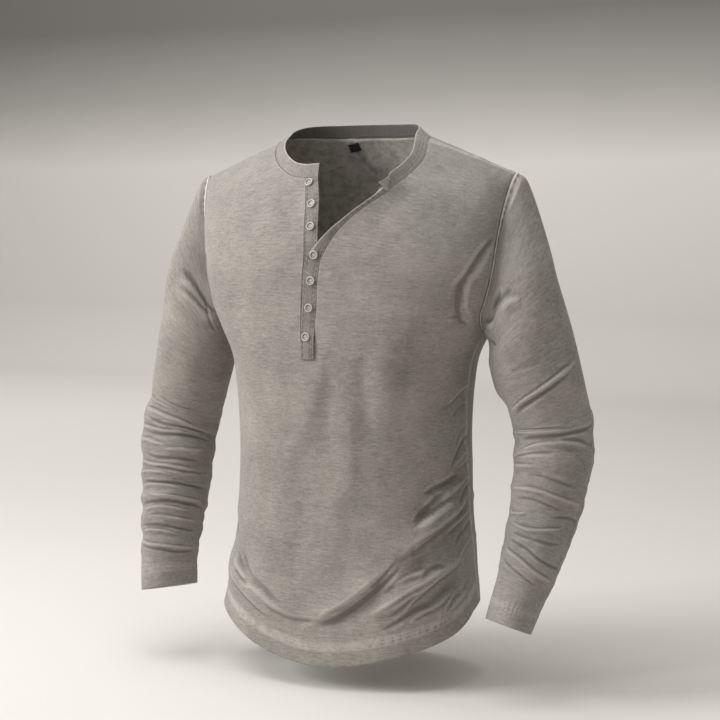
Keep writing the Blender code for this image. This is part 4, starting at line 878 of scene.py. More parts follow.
def shoulder_seam(across):
    """(around, rise) on the front side of the shoulder seam, from the neck point at 0 to the tip at 1."""
    neck_around, neck_rise = neck_front(1, 0.0)
    around = neck_around + (TIP_AROUND - neck_around) * across
    return around, neck_rise + (SHOULDER_ARC - neck_rise) * across


def patch(inner, outer, bottom, top):
    """A grid between four edges: the blend of its row and of its column, less the blend of the corners."""
    u = np.linspace(0, 1, len(bottom))[:, None, None] ** 2
    v = np.linspace(0, 1, len(inner))[None, :, None]
    rows = (1 - u) * inner[None] + u * outer[None]
    columns = (1 - v) * bottom[:, None] + v * top[:, None]
    corners = (1 - u) * ((1 - v) * inner[0] + v * inner[-1]) + u * ((1 - v) * outer[0] + v * outer[-1])
    return rows + columns - corners


def by_neck_point(column, row, shape, neck_columns):
    """How near grid places are to the column that ends at the neck point, where the top edge turns."""
    return bell(column + 1 - neck_columns, 9) * eased((row - shape[1] + 90) / 60)


def relaxed(grid, near):
    """The grid with its inner points moved to the mean of their four neighbours, over and over, where near is 1."""
    for _ in range(RELAX_PASSES):
        mean = (grid[:-2, 1:-1] + grid[2:, 1:-1] + grid[1:-1, :-2] + grid[1:-1, 2:]) / 4
        grid[1:-1, 1:-1] += (mean - grid[1:-1, 1:-1]) * near[..., None]
    return grid


def side_edge(side, seam_rows, front):
    """(around, rise) up one side of a panel: the side seam, then the armhole to the tip."""
    gap = SEAM_GAP / 2 / BODY_RADIUS * (-1 if front else 1)
    under_rise = armhole_chart(180.0)[1]
    foot = math.pi / 2 + SIDE_DRIFT
    low = hem_rise(foot if side > 0 else (-foot if front else 2 * math.pi - foot))
    seam = np.linspace(0, 1, seam_rows + 1)[:-1]
    drift = SIDE_DRIFT * (1 - seam) ** 2
    seam_edge = np.column_stack([math.pi / 2 + drift + gap, low + (under_rise - low) * seam])
    around, rise = armhole_chart(np.linspace(180, 0, ARMHOLE_ROWS + 1) * (1 if front else -1))
    around[0] += gap
    if not front:
        around[-1] = math.pi - around[-1]
    return np.vstack([seam_edge, np.column_stack([around, rise])])


def front_half(side):
    """Chart grid of one half of the front, [column, row], from the centre outwards and from the hem up, relaxed by the
    slot's foot, where the inner edge steps aside, and by the neck point."""
    columns = NECK_FRONT_COLUMNS + SHOULDER_COLUMNS
    hem_around = np.linspace(0, math.pi / 2 + SIDE_DRIFT - SEAM_GAP / 2 / BODY_RADIUS, columns + 1)
    bottom = np.column_stack([hem_around, hem_rise(hem_around * side)])
    outer = side_edge(side, SLOT_ROWS, True)
    outer[-1, 1] -= SEAM_GAP
    centre_rise = np.linspace(hem_rise(0.0), SLOT_FOOT - CHEST_HEIGHT, SLOT_ROWS + 1)
    edge = np.column_stack(front_edge(side, np.linspace(0, 1, ARMHOLE_ROWS)))
    edge[:, 0] *= side
    inner = np.vstack([np.column_stack([0 * centre_rise, centre_rise]), edge])
    neck = np.column_stack(neck_front(side, np.linspace(1, 0, NECK_FRONT_COLUMNS + 1)))
    neck[:, 0] *= side
    neck[0] = inner[-1]
    neck[-1, 1] -= SEAM_GAP
    shoulder = np.column_stack(shoulder_seam(np.linspace(0, 1, SHOULDER_COLUMNS + 1)[1:])) - (0, SEAM_GAP)
    shoulder[-1] = outer[-1]
    grid = patch(inner, outer, bottom, np.vstack([neck, shoulder]))
    column, row = np.indices(grid[1:-1, 1:-1, 0].shape)
    near = bell(row + 1 - SLOT_ROWS, 12) * (1 - eased((column - 50) / 30))
    return relaxed(grid, np.maximum(near, by_neck_point(column, row, grid.shape, NECK_FRONT_COLUMNS))) * (side, 1)


def back_half(side):
    """Chart grid of one half of the back as for the wearer's left, [column, row], from the centre outwards."""
    foot = math.pi / 2 + SIDE_DRIFT + SEAM_GAP / 2 / BODY_RADIUS
    columns = NECK_BACK_COLUMNS + BACK_SHOULDER_COLUMNS
    hem_around = np.linspace(math.pi, foot, columns + 1)
    bottom = np.column_stack([hem_around, hem_rise(hem_around if side > 0 else 2 * math.pi - hem_around)])
    outer = side_edge(side, BACK_SIDE_ROWS, False)
    under_rise = outer[BACK_SIDE_ROWS, 1]
    low = np.linspace(bottom[0, 1], under_rise, BACK_SIDE_ROWS + 1)[:-1]
    inner = np.concatenate([low, np.linspace(under_rise, NECK_BACK_RISE, ARMHOLE_ROWS + 1)])
    neck = np.column_stack(neck_back(np.linspace(0, math.pi / 2, NECK_BACK_COLUMNS + 1)))
    around, rise = shoulder_seam(np.linspace(0, 1, BACK_SHOULDER_COLUMNS + 1)[1:])
    shoulder = np.column_stack([math.pi - around, 2 * SHOULDER_ARC - rise])
    shoulder[-1] = outer[-1]
    grid = patch(np.column_stack([0 * inner + math.pi, inner]), outer, bottom, np.vstack([neck, shoulder]))
    column, row = np.indices(grid[1:-1, 1:-1, 0].shape)
    return relaxed(grid, by_neck_point(column, row, grid.shape, NECK_BACK_COLUMNS))


def sleeve_axis_row(down):
    """The sleeve's table at a share of its length below the cap."""
    return along_points(SLEEVE, np.clip(down, 0, 1), 3)


def tube_point(turn, down):
    """The sleeve below its cap: an ellipse square to the arm's line, turned up at its outer side by its fan."""
    turn, down = np.broadcast_arrays(np.asarray(turn, float), np.asarray(down, float))
    row = sleeve_axis_row(down)
    step = 0.01
    line = unit(sleeve_axis_row(down + step)[..., :3] - sleeve_axis_row(down - step)[..., :3])
    side = np.array([1.0, 0.0, 0.0])
    out = unit(side - line[..., :1] * line)
    forward = np.cross(line, out)
    fan, twist = np.radians(row[..., 5:6]), np.radians(row[..., 6])
    out = out * np.cos(fan) - line * np.sin(fan)
    long_way, short_way = row[..., 3] * np.cos(turn - twist), row[..., 4] * np.sin(turn - twist)
    outward = long_way * np.cos(twist) - short_way * np.sin(twist)
    onward = long_way * np.sin(twist) + short_way * np.cos(twist)
    return row[..., :3] + out * outward[..., None] + forward * onward[..., None]


def armhole_ring(turn):
    """(edge, leave): the armhole's edge, and the direction in which the body's cloth leaves it, square to the edge."""
    degrees = np.degrees(turn)
    chart = armhole_chart(degrees)
    edge = torso_point(*chart)
    step = 1.5
    ahead = torso_point(*armhole_chart(degrees + step))
    behind = torso_point(*armhole_chart(degrees - step))
    middle = torso_point(*armhole_chart(np.array([90.0, -90.0]))).mean(axis=0)
    leave = unit(np.cross(torso_normal(*chart), unit(ahead - behind)))
    leave = leave * np.sign(((middle - edge) * leave).sum(axis=-1, keepdims=True))
    return edge, leave


def sleeve_point(turn, down):
    """The wearer's left sleeve: a Hermite curve from the armhole's edge to the head of the tube, then the tube."""
    turn, down = np.broadcast_arrays(np.asarray(turn, float), np.asarray(down, float))
    edge, leave = armhole_ring(turn)
    head = tube_point(turn, 0.0 * turn)
    step = 0.004
    onward = unit(tube_point(turn, 0.0 * turn + step) - head)
    reach = np.linalg.norm(head - edge, axis=-1, keepdims=True)
    high = (1 + np.cos(turn))[..., None] ** 2 / 4
    t = np.clip(down / CAP_LENGTH, 0, 1)[..., None]
    gap = SEAM_GAP + UNDERARM_GAP * (1 - np.cos(turn))[..., None] / 2
    start = leave * (CAP_START_UNDERARM + (CAP_START_TOP - CAP_START_UNDERARM) * high)
    cap = hermite(t, edge + leave * gap, start, head, onward * reach * CAP_END)
    tube = tube_point(turn, np.clip((down - CAP_LENGTH) / TUBE_LENGTH, 0, 1))
    return np.where((down <= CAP_LENGTH)[..., None], cap, tube)


def sleeve_normal(turn, down):
    """Unit normal of the sleeve, taken from the body at the seam."""
    step, length = 0.01, 0.0004
    low, high = np.maximum(down - length, 0), np.minimum(down + length, SLEEVE_LENGTH)
    round_arm = sleeve_point(turn + step, down) - sleeve_point(turn - step, down)
    down_arm = sleeve_point(turn, high) - sleeve_point(turn, low)
    free = freed(down)[..., None]
    own = unit(np.cross(round_arm, down_arm))
    return unit(own * free + torso_normal(*armhole_chart(np.degrees(turn))) * (1 - free))


def sleeve_height(folds, creases, seed, turn, down):
    """How far a sleeve's cloth stands off its form: folds, creases, crumple growing down the arm, and its edges."""
    girth = turn * SLEEVE_RADIUS
    turns = girth / (2 * math.pi * SLEEVE_RADIUS)
    wide, fine = turns * 8, turns * 24
    wander = 0.0030 * waves(wide, down / 0.035, seed)
    height = fold_height(folds, SLEEVE_RADIUS, turn, down) * (1 - 0.60 * eased((down - 0.2) / 0.05))
    height = height + fold_height(creases, SLEEVE_RADIUS, turn, down + wander)
    low = eased((down - 0.19) / 0.08) * eased((SLEEVE_LENGTH - 0.034 - down) / 0.02)
    drape = 0.0006 * waves(wide, down / 0.05, seed + 1)
    crumple = 0.0009 * low * waves(wide, down / 0.0085, seed + 2)
    crumple += 0.0004 * low * waves(fine, down / 0.0055, seed + 3)
    pucker = np.sin(2 * math.pi * girth / SEAM_PUCKER + 2.5 * waves(fine, down / 0.02, seed + 4))
    seam = 0.0013 * eased(down / 0.0010) * eased((0.0078 - down) / 0.0030)
    seam += 0.0003 * pucker * bell(down - 0.008, 0.006)
    edge = turned_edge(SLEEVE_LENGTH - down, girth, CUFF_DEPTH, seed + 5)
    return (height + drape + crumple) * freed(down) + seam + np.where(down > SLEEVE_LENGTH - 0.06, edge, 0)


# ---- Meshes


def put_mesh(name, points, groups, finish, values=None):
    """A named, smooth-shaded object from points and groups of faces, with values for each point: one number or
    three."""
    corners = np.concatenate([group.reshape(-1) for group in groups])
    sizes = np.concatenate([np.full(len(group), group.shape[1]) for group in groups])
    mesh = bpy.data.meshes.new(name)
    mesh.vertices.add(len(points))
    mesh.vertices.foreach_set("co", points.astype(np.float32).reshape(-1))
    mesh.loops.add(len(corners))
    mesh.loops.foreach_set("vertex_index", corners.astype(np.int32))
    mesh.polygons.add(len(sizes))
    mesh.polygons.foreach_set("loop_start", (np.cumsum(sizes) - sizes).astype(np.int32))
    mesh.update(calc_edges=True)
    if mesh.validate():
        raise RuntimeError(f"{name}: its faces don't make a mesh")
    for label, value in (values or {}).items():
        kind, field = ("FLOAT_VECTOR", "vector") if value.ndim == 2 else ("FLOAT", "value")
        made = mesh.attributes.new(label, kind, "POINT")
        made.data.foreach_set(field, value.astype(np.float32).reshape(-1))
    mesh.materials.append(finish)
    mesh.shade_smooth()
    piece = bpy.data.objects.new(name, mesh)
    bpy.context.scene.collection.objects.link(piece)
    return piece


def grid_quads(ids, around=False):
    """Corner ids of a grid's quads, facing the side from which columns run right and rows run up."""
    if around:
        ids = np.vstack([ids, ids[:1]])
    return np.stack([ids[:-1, :-1], ids[1:, :-1], ids[1:, 1:], ids[:-1, 1:]], axis=-1).reshape(-1, 4)


def rim(outer, inner):
    """Faces of five corners between an edge of the outer layer and the inner one, which has every second point."""
    return np.stack([outer[2::2], outer[1::2], outer[:-1:2], inner[:-1], inner[1:]], axis=-1)


def settled(height, around=False):
    """Heights of the inner layer: the least of each point's neighbourhood, so that it never shows through."""
    least = height
    for axis in (0, 1):
        if axis == 0 and around:
            shifts = [np.roll(least, step, axis=0) for step in (-2, -1, 1, 2)]
            least = np.minimum.reduce([least, *shifts])
            continue
        spread = [(2, 2), (0, 0)] if axis == 0 else [(0, 0), (2, 2)]
        padded = np.pad(least, spread, mode="edge")
        count = least.shape[axis]
        least = np.minimum.reduce([np.take(padded, np.arange(step, step + count), axis=axis) for step in range(5)])
    return least


def crest_of(height, around=False):
    """How far each point stands over the mean of those a few steps away, from -1 in a trough to 1 on a ridge."""
    mean = np.zeros_like(height)
    for steps in (1, 3) if around else (1, 2):
        spread = [(0, 0), (steps, steps)]
        if around:
            across = np.concatenate([height[-steps:], height, height[:steps]])
        else:
            across = np.pad(height, [(steps, steps), (0, 0)], mode="edge")
        padded = np.pad(across, spread, mode="edge")
        columns, rows = height.shape
        for x, y in ((0, steps), (2 * steps, steps), (steps, 0), (steps, 2 * steps)):
            mean += padded[x : x + columns, y : y + rows] / 8
    return np.clip((height - mean) / (SLEEVE_CREST if around else BODY_CREST), -1, 1)


def cloth_piece(form, normal, height, values, around=False, keep=0, flip=False):
    """(points, quads, fives, values) of a thin closed wall from a grid of places, normals and heights: a fine outer
    layer, an inner one with every second point at the least of the heights around it less the wall, and rims. keep is
    the first row of the first column's free edge, where the grid is one half of a piece."""
    outer = form + normal * height[..., None]
    least = settled(height, around)
    if keep:
        shared, free = height[:1, : keep + 1], height[:1, keep + 1 :]
        least[0] = np.concatenate([settled(shared)[0], settled(free)[0]])
    inner = (form + normal * (least - WALL)[..., None])[::2, ::2]
    ids = np.arange(height.size).reshape(height.shape)
    inner_ids = height.size + np.arange(inner[..., 0].size).reshape(inner.shape[:2])
    bottom, inner_bottom, top, inner_top = ids[:, 0], inner_ids[:, 0], ids[::-1, -1], inner_ids[::-1, -1]
    if around:
        bottom, inner_bottom = np.append(bottom, bottom[0]), np.append(inner_bottom, inner_bottom[0])
        top, inner_top = np.append(top[-1], top), np.append(inner_top[-1], inner_top)
    rims = [rim(bottom, inner_bottom), rim(top, inner_top)]
    if not around:
        rims.append(rim(ids[-1], inner_ids[-1]))
        rims.append(rim(ids[0, keep:][::-1], inner_ids[0, keep // 2 :][::-1]))
    quads = np.vstack([grid_quads(ids, around), grid_quads(inner_ids, around)[:, ::-1]])
    fives = np.vstack(rims)
    if flip:
        quads, fives = quads[:, ::-1], fives[:, ::-1]
    points = np.vstack([outer.reshape(-1, 3), inner.reshape(-1, 3)])
    worth = {}
    # crest sets the painted highlight on ridges and the painted shade in troughs.
    for label, value in {"crest": crest_of(height, around), **values}.items():
        tail = value.shape[2:]
        # The inner layer gets an even bloom: painted light on the inside of the shirt.
        within = np.full(inner.shape[:2], INSIDE_PAINTED_LIGHT) if label == "bloom" else value[::2, ::2]
        worth[label] = np.concatenate([value.reshape(-1, *tail), within.reshape(-1, *tail)])
    return points, quads, fives, worth


def joined(halves):
    """Two halves as one, with the points that they share made one."""
    points = np.vstack([half[0] for half in halves])
    start = len(halves[0][0])
    _, first, merged = np.unique(np.round(points, 7), axis=0, return_index=True, return_inverse=True)
    merged = merged.reshape(-1)
    quads = merged[np.vstack([halves[0][1], halves[1][1] + start])]
    fives = merged[np.vstack([halves[0][2], halves[1][2] + start])]
    worth = {label: np.concatenate([half[3][label] for half in halves])[first] for label in halves[0][3]}
    return points[first], quads, fives, worth


def body_grain(around, rise):
    """Where the knit lies, for patterns that follow it: round the body, and up it."""
    return np.stack([BODY_RADIUS * np.sin(around), -BODY_RADIUS * np.cos(around), rise], axis=-1)


def body_values(around, rise):
    """What the body's materials read at each point: the knit's place, and distances to seams and hem."""
    own_around, own_rise = own_chart(around, rise)
    gap, _ = armhole_gap(own_around, own_rise)
    hem_gap = hem_distance(own_around, own_rise)
    hem = bloom_band(np.abs(hem_gap - HEM_DEPTH + TWIN_ROWS / 2), *HEM_BLOOM)
    bloom = np.maximum(bloom_band(gap, *ARMHOLE_BLOOM), hem)
    return {"grain": body_grain(own_around, own_rise), "seam": gap, "bloom": bloom}


def bloom_band(gap, reach, most):
    """How worn the cloth is at a distance from a seam: the most beside it, none past its reach."""
    return most * eased((reach - gap) / (0.7 * reach))


def edge_gap(points, edge):
    """Distance from each point of a grid to the nearest point of an edge."""
    flat = points.reshape(-1, 3)
    least = np.full(len(flat), np.inf)
    for place in edge:
        np.minimum(least, ((flat - place) ** 2).sum(axis=1), out=least)
    return np.sqrt(least).reshape(points.shape[:2])


# ---- Materials


def linear(code):
    """Linear RGBA from an sRGB hex code."""
    parts = [int(code[at : at + 2], 16) / 255 for at in (1, 3, 5)]
    return (*(part / 12.92 if part <= 0.04045 else ((part + 0.055) / 1.055) ** 2.4 for part in parts), 1.0)


def add(tree, kind, sockets=None, **settings):
    """Adds a node with its settings, and with its sockets' values or the sockets they are linked from."""
    node = tree.nodes.new(kind)
    for name, value in settings.items():
        setattr(node, name, value)
    for key, value in (sockets or {}).items():
        if isinstance(value, bpy.types.NodeSocket):
            tree.links.new(value, node.inputs[key])
        else:
            node.inputs[key].default_value = value
    return node


def noise_of(tree, place, scale, detail, rough=0.5):
    """Noise at a place, from 0 to 1."""
    sockets = {"Vector": place, "Scale": scale, "Detail": detail, "Roughness": rough}
    return add(tree, "ShaderNodeTexNoise", sockets).outputs["Fac"]


def worked(tree, operation, *values):
    """A sum on up to three values or sockets."""
    return add(tree, "ShaderNodeMath", dict(enumerate(values)), operation=operation).outputs[0]


def ranged(tree, value, start, end, low=0.0, high=1.0):
    """A value carried from the range start to end to the range low to high, and held there."""
    sockets = {"Value": value, "From Min": start, "From Max": end, "To Min": low, "To Max": high}
    return add(tree, "ShaderNodeMapRange", sockets).outputs[0]


def new_material(name):
    """(material, its tree, its Principled shader, the place on the object)"""
    made = bpy.data.materials.new(name)
    made.use_nodes = True
    tree = made.node_tree
    return made, tree, tree.nodes["Principled BSDF"], add(tree, "ShaderNodeTexCoord").outputs["Object"]


def ramp_of(tree, source, stops):
    """A colour ramp with these (place, colour) stops."""
    node = add(tree, "ShaderNodeValToRGB", {"Fac": source})
    ramp = node.color_ramp
    while len(ramp.elements) < len(stops):
        ramp.elements.new(0.5)
    for element, (place, colour) in zip(ramp.elements, stops, strict=True):
        element.position = place
        element.color = colour
    return node.outputs["Color"]


def scaled(colour, share):
    """A colour times a share, opaque."""
    return tuple(part * share for part in colour[:3]) + (1.0,)


def jersey(name, base, bloom, streaks, coarse=1.0):
    """Slub cotton jersey, garment-dyed and stone-washed: streaks along the courses where the yarn thickens, a pale
    worn bloom along seams and turned edges, painted highlight on the crests of folds and creases, painted shade in
    their troughs and where a piece asks for it, painted light on the inner face, cloudy dye, and a matt face with
    short fibres."""
    made, tree, shader, place = new_material(name)
    grain = add(tree, "ShaderNodeAttribute", attribute_name="grain").outputs["Vector"]
    seam, bloomed, crest, painted_shade = (
        add(tree, "ShaderNodeAttribute", attribute_name=label).outputs["Fac"]
        for label in ("seam", "bloom", "crest", "painted_shade")
    )
    noises = []
    for round_scale, up_scale, detail, rough in SLUBS:
        at = add(tree, "ShaderNodeMapping", {"Vector": grain, "Scale": (round_scale, round_scale, up_scale * coarse)})
        noises.append(noise_of(tree, at.outputs[0], 1.0, detail, rough))
    streak, long_streak, fleck = noises
    tone = worked(tree, "MULTIPLY", streak, streaks)
    for source, share in ((long_streak, 0.18), (fleck, 0.55), (noise_of(tree, place, 13.0, 6.0, 0.62), 0.80)):
        tone = worked(tree, "MULTIPLY_ADD", source, share, tone)
    shades = [(0.0, 0.60), (0.35, 0.87), (0.62, 1.07), (1.0, 1.38)]
    colour = ramp_of(tree, ranged(tree, tone, 0.84, 1.52), [(at, scaled(base, share)) for at, share in shades])
    patches = ranged(tree, noise_of(tree, place, 85.0, 3.0, 0.65), 0.36, 0.56, 0.4)
    # Painted highlight: the crests of folds are painted towards the pale colour.
    ridge_highlight = ranged(tree, crest, 0.35, 1.0, 0.0, 0.32)
    # The most of worn bloom along seams and edges, painted light on the inner face and painted highlight on crests.
    worn = worked(tree, "MAXIMUM", worked(tree, "MULTIPLY", bloomed, patches), ridge_highlight)
    colour = mixed(tree, worn, colour, bloom)
    # Painted shade: the troughs of folds are painted darker.
    colour = mixed(tree, ranged(tree, crest, -0.20, -1.0, 0.0, 0.72), colour, scaled(base, 0.5))
    colour = mixed(tree, ranged(tree, seam, 0.0016, 0.0004, 0.0, 0.7), colour, scaled(base, 0.42))
    # Painted shade where a piece asks for it: down the forearms and on the neckband's inner face.
    colour = mixed(tree, painted_shade, colour, scaled(base, 0.30))
    tree.links.new(colour, shader.inputs["Base Color"])
    relief = worked(tree, "MULTIPLY_ADD", fleck, 0.6, streak)
    bump = add(tree, "ShaderNodeBump", {"Height": relief, "Strength": 0.55, "Distance": 0.0007})
    tree.links.new(bump.outputs["Normal"], shader.inputs["Normal"])
    shader.inputs["Roughness"].default_value = 0.92
    shader.inputs["Specular IOR Level"].default_value = 0.25
    shader.inputs["Sheen Weight"].default_value = 0.18
    shader.inputs["Sheen Roughness"].default_value = 0.5
    return made


def mixed(tree, share, under, over):
    """The colour that goes from under to over as share goes from 0 to 1."""
    node = tree.nodes.new("ShaderNodeMix")
    node.data_type = "RGBA"
    factor, first, second = (
        next(socket for socket in node.inputs if socket.identifier == name)
        for name in ("Factor_Float", "A_Color", "B_Color")
    )
    for socket, value in ((factor, share), (first, under), (second, over)):
        if isinstance(value, bpy.types.NodeSocket):
            tree.links.new(value, socket)
        else:
            socket.default_value = value
    return next(socket for socket in node.outputs if socket.identifier == "Result_Color")


def shell_button(name, settings):
    """Trocas shell, turned and polished: a pale grey disc, cloudy in bands, with a soft gloss, and painted shade in a
    ring inside the rim and in the holes.
    """
    made, tree, shader, place = new_material(name)
    base = settings.button_colour
    cloud = noise_of(tree, place, 160.0, 3.0, 0.6)
    colour = ramp_of(tree, cloud, [(0.25, scaled(base, 0.62)), (0.75, scaled(base, 1.15))])
    dish = add(tree, "ShaderNodeAttribute", attribute_name="dish").outputs["Fac"]
    # Painted shade in the dish's ring and holes.
    colour = mixed(tree, dish, colour, scaled(base, 0.12))
    tree.links.new(colour, shader.inputs["Base Color"])
    shader.inputs["Roughness"].default_value = 0.32
    return made


def sewing_thread(name, base):
    """Spun polyester sewing thread, dyed with the cloth: matt, with a fine twist across it."""
    made, tree, shader, place = new_material(name)
    colour = ramp_of(tree, noise_of(tree, place, 1400.0, 1.0), [(0.3, scaled(base, 0.7)), (0.7, scaled(base, 1.2))])
    tree.links.new(colour, shader.inputs["Base Color"])
    shader.inputs["Roughness"].default_value = 0.8
    return made


def label_tape(name):
    """Woven satin tape, black and plain: close ribs across it that catch a little light."""
    made, tree, shader, place = new_material(name)
    at = add(tree, "ShaderNodeMapping", {"Vector": place, "Scale": (300.0, 300.0, 1500.0)}).outputs[0]
    base = linear("#2a2926")
    colour = ramp_of(tree, noise_of(tree, at, 1.0, 1.0), [(0.3, scaled(base, 0.6)), (0.7, scaled(base, 1.3))])
    tree.links.new(colour, shader.inputs["Base Color"])
    shader.inputs["Roughness"].default_value = 0.6
    return made


def studio_paper(name, base):
    """Matt seamless paper: pale and warm, with the faintest tooth; painted light and shade grade it by height, paler
    low down and darkest towards the top.
    """
    made, tree, shader, place = new_material(name)
    high = add(tree, "ShaderNodeSeparateXYZ", {"Vector": place}).outputs["Z"]
    # Painted light and shade: the colour is graded by height up the sweep.
    painted_falloff = worked(tree, "MULTIPLY_ADD", noise_of(tree, place, 3.0, 2.0), 0.02, ranged(tree, high, -0.75, 1.25))
    stops = [(0.01, 1.20), (0.12, 1.04), (0.42, 1.12), (0.58, 0.62), (0.75, 0.30)]
    colour = ramp_of(tree, painted_falloff, [(at, scaled(base, share)) for at, share in stops])
    tree.links.new(colour, shader.inputs["Base Color"])
    shader.inputs["Roughness"].default_value = 0.9
    return made


def finish_of(name):
    """The material of that name, made the first time that a piece asks for it."""
    if name in bpy.data.materials:
        return bpy.data.materials[name]
    scene = bpy.context.scene
    cloth, trim = scene.henley_cloth, scene.henley_trim
    jerseys = {
        "washed slub jersey": (cloth.jersey_colour, 1.0),
        "washed placket jersey": (scaled(cloth.jersey_colour, 0.82), 1.0),
        # The placket strips are painted 0.82 as bright as the jersey: painted shade.
        "ribbed jersey": (cloth.rib_colour, 0.6),
    }
    if name in jerseys:
        base, coarse = jerseys[name]
        return jersey(name, base, (*cloth.bloom_and_highlight_colour, 1.0), cloth.streaks, coarse)
    if name == "trocas shell":
        return shell_button(name, trim)
    if name == "sewing thread":
        return sewing_thread(name, trim.thread_colour)
    if name == "woven label tape":
        return label_tape(name)
    if name == "seamless paper":
        return studio_paper(name, scene.henley_studio.floor_colour)
    raise RuntimeError(f"no finish is called {name}")


# ---- Pieces


def settle(piece, node, slot, **cut):
    """Puts a cloth piece on the body in place of its solid; its slot and the size that it was cut to are not used."""
    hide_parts(node)
    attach(piece, "root")


def body_form(grid):
    """(form, normal, height, values) of the body's cloth over a chart grid."""
    around, rise = grid[..., 0], grid[..., 1]
    form, normal = torso_point(around, rise), torso_normal(around, rise)
    return form, normal, body_height(around, rise), body_values(around, rise)


def front_piece(side):
    """One half of the front's wall: the body's surface over its chart grid."""
    grid = front_half(side)
    form, normal, height, values = body_form(grid)
    values["crest"] = crest_of(height)
    height = height + flap_lift(grid[..., 0], grid[..., 1])
    slot, neck = form[0, SLOT_ROWS + 2 :], form[: NECK_FRONT_COLUMNS + 1, -1]
    shoulder, sides = form[NECK_FRONT_COLUMNS:, -1], form[-1, : SLOT_ROWS + 1]
    for edges, spared, bloom in (
        ([slot, neck], 0.0, SLOT_BLOOM),
        ([shoulder], 0.0008, SHOULDER_BLOOM),
        ([sides], 0.0010, SIDE_BLOOM),
    ):
        gap = edge_gap(form, np.vstack(edges)[::2])
        values["seam"] = np.minimum(values["seam"], gap + spared)
        values["bloom"] = np.maximum(values["bloom"], bloom_band(gap, *bloom))
    return cloth_piece(form, normal, height, values, keep=SLOT_ROWS, flip=side < 0)


def back_piece():
    """The back's wall: the body's surface over both halves' chart grids in one."""
    left, right = back_half(1), back_half(-1) * (-1, 1) + (2 * math.pi, 0)
    form, normal, height, values = body_form(np.vstack([left[::-1], right[1:]]))
    edges = [form[:, -1], form[0, : BACK_SIDE_ROWS + 1], form[-1, : BACK_SIDE_ROWS + 1]]
    values["seam"] = np.minimum(values["seam"], edge_gap(form, np.vstack(edges)[::2]) + 0.0008)
    edges[0] = np.delete(edges[0], slice(BACK_SHOULDER_COLUMNS, -BACK_SHOULDER_COLUMNS), axis=0)
    values["bloom"] = np.maximum(values["bloom"], bloom_band(edge_gap(form, np.vstack(edges)), *BACK_BLOOM))
    return cloth_piece(form, normal, height, values)


def cuff_cut(form, side, down):
    """How a sleeve's last rows shift: the wearer's right cuff hangs with its back edge higher than square."""
    near = eased((down - SLEEVE_LENGTH + 0.07) / 0.07) * (side < 0)
    lift = (form[..., 1] - SLEEVE[-1, 1]) * CUFF_LIFT * near
    return np.stack([0 * lift, 0 * lift, lift], axis=-1)


def sleeve_piece(side, folds, creases, seed):
    """A sleeve's wall: rings round the arm, L (1.25 t - 0.25 t^2) down it, so that they are closest at the cuff."""
    turns = np.arange(SLEEVE_COLUMNS) * 2 * math.pi / SLEEVE_COLUMNS
    share = np.linspace(0, 1, SLEEVE_ROWS + 1)
    downs = SLEEVE_LENGTH * (1.25 * share - 0.25 * share**2)
    turn, down = np.meshgrid(turns, downs[::-1], indexing="ij")
    form, normal = sleeve_point(turn, down), sleeve_normal(turn, down)
    form = form + cuff_cut(form, side, down)
    height = sleeve_height(folds, creases, seed, turn, down)
    round_arm = SLEEVE_RADIUS * np.stack([np.cos(turn), np.sin(turn)], axis=-1)
    cuff_rows = np.abs(SLEEVE_LENGTH - down - CUFF_DEPTH + TWIN_ROWS / 2)
    values = {
        "grain": np.concatenate([round_arm, 2.0 + side + down[..., None]], axis=-1),
        "seam": down + 0.0002,
        "bloom": np.maximum(bloom_band(down, *SLEEVE_HEAD_BLOOM), bloom_band(cuff_rows, *CUFF_BLOOM)),
        # Painted shade: the sleeve is painted darker from 0.20 m down the arm, where less light falls on the forearm.
        "painted_shade": 0.10 * eased((down - 0.20) / 0.12),
    }
    if side < 0:
        form, normal = form * (-1, 1, 1), normal * (-1, 1, 1)
    return cloth_piece(form, normal, height, values, around=True, flip=side > 0)


def strip_section(count, thickness, across_width):
    """A rounded rectangle as (across, depth) places once round: the outer face, one edge, the inner face and the
    other edge, each edge a half circle of half the thickness."""
    half = thickness / 2
    inset = half / across_width
    face = np.linspace(inset, 1 - inset, count)
    turn = np.linspace(math.pi / 2, -math.pi / 2, 7)[1:-1]
    edge_across, edge_depth = 1 - inset + np.cos(turn) * inset, half - np.sin(turn) * half
    across = np.concatenate([face, edge_across, face[::-1], 1 - edge_across[::-1]])
    depth = np.concatenate([0 * face, edge_depth, 0 * face + thickness, edge_depth[::-1]])
    return across, depth


def section_caps(ring, count, flip):
    """(quads, triangles) that close the end of a rounded rectangle whose faces have count points each: every point of
    one face is joined to the one facing it."""
    size = len(ring)
    one = np.arange(-2, count + 1)
    facing = 2 * count + 4 - one
    quads = np.stack([one, one + 1, facing - 1, facing], axis=-1)
    ends = np.array([(-3, -2, 2 * count + 6), (count + 1, count + 2, count + 3)])
    quads, ends = ring[quads % size], ring[ends % size]
    return (quads[:, ::-1], ends[:, ::-1]) if flip else (quads, ends)


def section_faces(shape, count):
    """Faces of a rounded rectangle carried along a path, [place on the section, place on the path], with its ends
    closed."""
    ids = np.arange(shape[0] * shape[1]).reshape(shape)
    ends = section_caps(ids[:, 0], count, True) + section_caps(ids[:, -1], count, False)
    return [grid_quads(ids, around=True), *ends]


